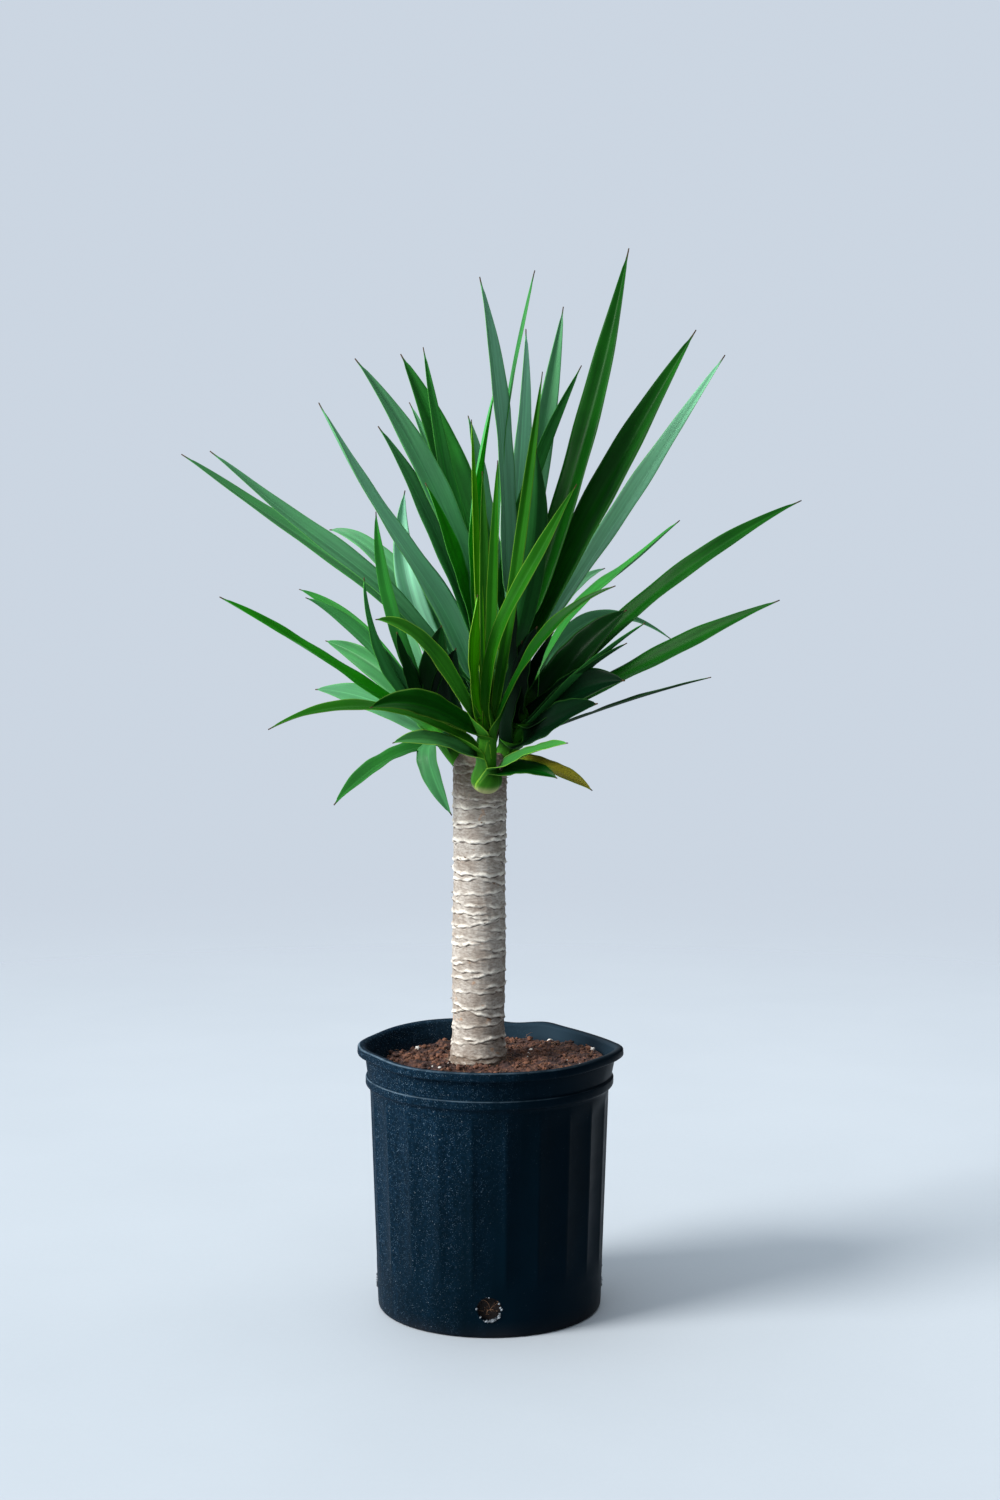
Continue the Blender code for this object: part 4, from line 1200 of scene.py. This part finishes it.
def build_soil():
    look = soil_look()
    # Rings up the side of the soil, by their heights in millimetres
    levels = [3, 7, 14, 22, 29, 36, 44, 52, 80, 120, 160, 200, 219.5, 232]
    points = []
    for level in levels:
        z = level * MM
        for k in range(SOIL_SIDES):
            angle = TAU * k / SOIL_SIDES
            dent = 0.0
            if z < RIDGE_LOW:
                spot = Vector((math.cos(angle), math.sin(angle), z * 8)) * 18
                dent = 1.4 * MM * abs(noise.noise(spot))
            points.append((*polar(inner_radius(z) - 0.8 * MM - dent, angle), z))
    # Rings over its top, from the edge to the middle
    for i in range(SOIL_RINGS + 1):
        share = i / SOIL_RINGS
        radius = SOIL_EDGE * (1 - share) + 14 * MM * share
        for k in range(SOIL_SIDES):
            x, y = polar(radius, TAU * k / SOIL_SIDES)
            points.append((x, y, rough_soil(x, y) - 3 * MM * max(0.0, 1 - i / 6)))
    faces = tube_faces(len(levels) + SOIL_RINGS + 1, SOIL_SIDES)
    soil = mesh_object("soil_body", points, faces, look, tint=np.zeros(len(points)))
    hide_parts("soil")
    draw = random.Random(5)
    crumbs = Parts()
    for x, y in soil_spots(draw, CRUMBS, 4, 2):
        size = draw.choice((0.7, 0.9, 1.1, 1.4, 1.8, 2.6)) * MM * draw.uniform(0.8, 1.2)
        spot = np.array((x, y, rough_soil(x, y) + size * 0.25))
        crumbs.add(*lump(draw, spot, size), tint=draw.choice((0.0, 0.2, 0.5, 1.0)))
    crumb_piece = crumbs.build("soil_crumbs", look)
    fibres = Parts()
    for x, y in soil_spots(draw, FIBRES, 5, 3):
        start = (x, y, rough_soil(x, y) + 0.3 * MM)
        heading = (draw.uniform(-1, 1), draw.uniform(-1, 1), draw.uniform(0.0, 0.5))
        length, radius = draw.uniform(5, 13) * MM, draw.uniform(0.15, 0.35) * MM
        fibres.add(*thread(draw, start, heading, length, radius, 0.12))
    # Fine roots in the drain holes
    for outward, sideways in drain_spokes():
        wall = outward * (inner_radius(DRAIN_HEIGHT) - 0.5 * MM)
        for i in range(HOLE_ROOTS):
            spot = wall + sideways * draw.uniform(-9, 9) * MM
            spot = spot + UP * (DRAIN_HEIGHT + draw.uniform(-7, 8) * MM)
            heading = sideways * draw.uniform(-1, 1) + outward * 0.15 + UP * draw.uniform(-0.8, 0.8)
            fibres.add(*thread(draw, spot, heading, draw.uniform(4, 9) * MM, 0.25 * MM, 0.05))
    brown = fibre_look("soil fibre", (0.10, 0.045, 0.022), (0.36, 0.19, 0.10))
    fibre_piece = fibres.build("soil_fibres", brown)
    grains = Parts()
    placed = list(LARGE_GRAINS)
    for k in range(SMALL_GRAINS):
        angle = draw.uniform(0, TAU)
        placed.append((*polar(draw.uniform(35, 104), angle), draw.uniform(0.8, 1.8)))
    for x, y, size in np.array(placed) * MM:
        spot = np.array((x, y, rough_soil(x, y) + size * 0.6))
        grains.add(*lump(draw, spot, size, 1.0))
    grain_piece = grains.build("soil_grains", grain_look())


# ---------------------------------------------------------------- cane

def cane_x(z):
    """Middle of the slightly leaning cane at a height."""
    share = (z - CANE_FOOT.z) / (CANE_TOP.z - CANE_FOOT.z)
    return CANE_FOOT.x + (CANE_TOP.x - CANE_FOOT.x) * share


def cane_scars(draw, low, high):
    """Leaf scars in a spiral up the cane: height, direction, span, rise, slant and strength."""
    scars = []
    level, turn = low - 8 * MM, 0.6
    while level < high + 4 * MM:
        level += SCAR_SPACING * draw.uniform(0.75, 1.25)
        turn += GOLDEN_ANGLE + draw.uniform(-0.35, 0.35)
        span, rise = draw.uniform(1.7, 2.7), draw.uniform(-2.0, 7.0) * MM
        slant, strength = draw.uniform(-4.5, 4.5) * MM, draw.uniform(0.55, 1.15)
        scars.append((level, turn, span, rise, slant, strength))
    return scars


def build_cane():
    low, high = SOIL_HEIGHT - 16 * MM, CANE_TOP.z
    z, angle = np.meshgrid(np.linspace(low, high, CANE_ROWS),
                           np.linspace(0, TAU, CANE_SIDES, endpoint=False), indexing="ij")
    draw = random.Random(23)
    scars = cane_scars(draw, low, high)
    crest, crack, wander = np.zeros((3, CANE_ROWS, CANE_SIDES))
    for number, (level, turn, span, rise, slant, strength) in enumerate(scars):
        share = ((angle - turn + math.pi) % TAU - math.pi) / span
        line = level + rise * share ** 2 + slant * share
        for waves, drift, swing in ((5, 1.7, 0.7), (11, 2.9, 0.45), (23, 1.0, 0.25)):
            line = line + swing * MM * np.sin(waves * angle + number * drift)
        ends = strength * np.clip(1.15 - np.abs(share), 0, 0.35) / 0.35
        broken = 0.72 + 0.28 * np.sin(7 * angle + number * 3.1)
        # Each ridge slopes away above its edge and drops at once to the crack below it
        dz = (z - line) / MM
        ridge = np.exp(-(dz / np.where(dz > 0, 2.7, 0.6)) ** 2)
        crest = np.maximum(crest, ends * broken * ridge)
        gap = np.exp(-((dz + 1.35) / 0.55) ** 2) * (0.6 + 0.4 * np.sin(13 * angle + number))
        crack = np.maximum(crack, ends * gap)
    for k in range(36):
        waves, pitch = draw.randint(1, 26), draw.uniform(80, 1600)
        wander += np.sin(waves * angle + pitch * z + draw.uniform(0, 6)) / 6
    foot_swell = 2.6 * MM * np.exp(-((z - SOIL_HEIGHT) / (22 * MM)) ** 2)
    radius = CANE_RADIUS - 0.6 * MM + foot_swell + 0.5 * MM * np.sin(2 * angle + z * 40)
    radius = radius + SCAR_RELIEF * crest - CRACK_RELIEF * crack + BARK_RELIEF * wander
    radius = radius - 3.2 * MM * smooth((z - (high - 7 * MM)) / (7 * MM))
    x, y = cane_x(z) + radius * np.cos(angle), radius * np.sin(angle)
    points = np.stack([x, y, z], -1).reshape(-1, 3)
    # Old leaf bases leave the top dark and papery, and the foot is crusted with soil
    dry = 0.95 * smooth((z - 492 * MM) / (36 * MM))
    dry = dry + smooth((SOIL_HEIGHT + 17 * MM - z) / (10 * MM))
    dry = np.clip(dry + 0.22 * wander * (dry > 0.05), 0, 1)
    # Uneven cap over the end of the cane
    cap = []
    for i in range(1, CAP_RINGS):
        share = 1 - i / CAP_RINGS
        for k in range(CANE_SIDES):
            x, y = polar(radius[-1, k] * share, TAU * k / CANE_SIDES)
            rough = 1.5 * MM * noise.fractal(Vector((x, y, 0)) * 120, 0.9, 2, 3)
            cap.append((CANE_TOP.x + x, y, high + 2.2 * MM * (1 - share) + rough))
    points = np.concatenate([points, np.array(cap)])
    faces = grid_faces(CANE_ROWS + CAP_RINGS - 1, CANE_SIDES, closed=True)
    faces.append(tuple(range(len(points) - CANE_SIDES, len(points))))
    # The values of each point, those of the cap after the rest
    values = {key: np.append(body, np.full(len(cap), cap_value)) for key, body, cap_value in
              (("crest", crest, 0.0), ("crack", crack, 0.5), ("dry", dry, 0.95))}
    cane = mesh_object("cane_bark", points, faces, bark_look(), **values)
    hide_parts("cane")
    build_flakes(draw, scars)


def build_flakes(draw, scars):
    """Ragged flakes of old leaf scars along the ridges, and frayed fibres at top and foot."""
    flakes = Parts()
    for level, turn, span, rise, slant, _ in scars:
        for k in range(draw.randint(1, 4)):
            share = draw.uniform(-0.95, 0.95)
            h = level + rise * share ** 2 + slant * share + draw.uniform(-0.4, 0.8) * MM
            if not SOIL_HEIGHT + 4 * MM < h < CANE_TOP.z - 3 * MM:
                continue
            out, side = spoke(turn + share * span)
            root = np.array((cane_x(h), 0, h)) + out * (CANE_RADIUS + 0.3 * MM)
            wide = side * draw.uniform(0.8, 2.6) * MM
            tip = root + out * draw.uniform(0.8, 2.4) * MM + UP * draw.uniform(-1.5, 2.2) * MM
            tip = tip + side * draw.uniform(-1, 1) * MM
            back = root - out * 0.6 * MM
            under = root - out * 0.4 * MM - UP * 0.7 * MM
            flakes.add([back - wide, tip, back + wide, under],
                       [(0, 1, 2), (0, 3, 1), (1, 3, 2), (0, 2, 3)])
    for k in range(FRAYED_FIBRES):
        out, side = spoke(draw.uniform(0, TAU))
        if k < LOW_FRAYED_FIBRES:
            x, h, gap = CANE_FOOT.x, SOIL_HEIGHT + draw.uniform(-2, 9) * MM, 1.6 * MM
        else:
            x, h, gap = CANE_TOP.x, draw.uniform(536, 549) * MM, -1.0 * MM
        root = np.array((x, 0, h)) + out * (CANE_RADIUS + gap)
        heading = out * 0.35 + side * draw.uniform(-1, 1) + UP * draw.uniform(-1, 0.6)
        length, thick = draw.uniform(4, 10) * MM, draw.uniform(0.2, 0.45) * MM
        flakes.add(*thread(draw, root, heading, length, thick, 0.1))
    dry = fibre_look("dry bark", (0.10, 0.065, 0.045), (0.34, 0.24, 0.16))
    flake_piece = flakes.build("bark_flakes", dry, smooth=False)


# ---------------------------------------------------------------- stage

def facing(direction):
    """Rotation of a light that shines in a direction."""
    return Vector(direction).to_track_quat("-Z", "Y").to_euler()


def add_lamp(name, place, target, size, energy, colour):
    """Square or oblong lamp that shines from its place at a target."""
    light = bpy.data.lights.new(name, "AREA")
    light.shape = "RECTANGLE"
    light.size, light.size_y = size
    light.energy = energy
    light.color = colour
    new_object(name, light, place, facing(Vector(target) - Vector(place)))


def build_stage():
    mesh = bpy.data.meshes.new("floor")
    ring = [(*polar(FLOOR_RADIUS, TAU * k / FLOOR_SIDES), 0.0) for k in range(FLOOR_SIDES)]
    mesh.from_pydata(ring, [], [tuple(range(FLOOR_SIDES))])
    mesh.materials.append(floor_look())
    floor = new_object("floor", mesh)
    # The background is seen as one pale colour, but lights the object most from the upper left
    world = bpy.data.worlds.new("studio")
    world.use_nodes = True
    sky = Nodes(world.node_tree)
    seen = sky.tree.nodes["Background"]
    sky.feed(seen.inputs["Color"], BACKGROUND)
    heading = sky.add("ShaderNodeTexCoord").outputs["Generated"]
    toward = sky.add("ShaderNodeVectorMath", {0: heading, 1: BRIGHT_SIDE}, operation="DOT_PRODUCT")
    fall = sky.add("ShaderNodeMapRange", {"Value": toward.outputs["Value"], "From Min": -0.5,
                                          "From Max": 1.0, "To Min": 0.02, "To Max": 1.15},
                   interpolation_type="SMOOTHSTEP")
    soft = sky.add("ShaderNodeBackground", {"Color": BACKGROUND_LIGHT, "Strength": fall.outputs[0]})
    path = sky.add("ShaderNodeLightPath").outputs["Is Camera Ray"]
    both = sky.add("ShaderNodeMixShader", {0: path, 1: soft.outputs[0], 2: seen.outputs[0]})
    sky.feed(sky.tree.nodes["World Output"].inputs["Surface"], both.outputs[0])
    bpy.context.scene.world = world
    bpy.context.scene.view_settings.view_transform = "Standard"

    # A broad, distant key light keeps the floor even in every view
    key = bpy.data.lights.new("key", "SUN")
    key.energy = 4.5
    key.angle = math.radians(26)
    key.color = (1.0, 0.99, 0.97)
    new_object("key", key, turn=facing(KEY_DIRECTION))
    add_lamp("rim", (1.9, 1.0, 1.4), (0, 0, 0.5), (0.4, 1.6), 2, (0.95, 0.98, 1.0))
    add_lamp("top", (0.2, 0.5, 2.8), (0, 0, 0.7), (1.6, 1.6), 12, (1.0, 1.0, 1.0))

    camera = bpy.data.cameras.new("camera")
    camera.lens = 55
    camera.sensor_height = 36
    camera.sensor_fit = "VERTICAL"
    bpy.context.scene.camera = new_object("camera", camera, CAMERA_PLACE, (CAMERA_TILT, 0, 0))


build_stage()
build_pot()
build_soil()
build_cane()
build_shoots()
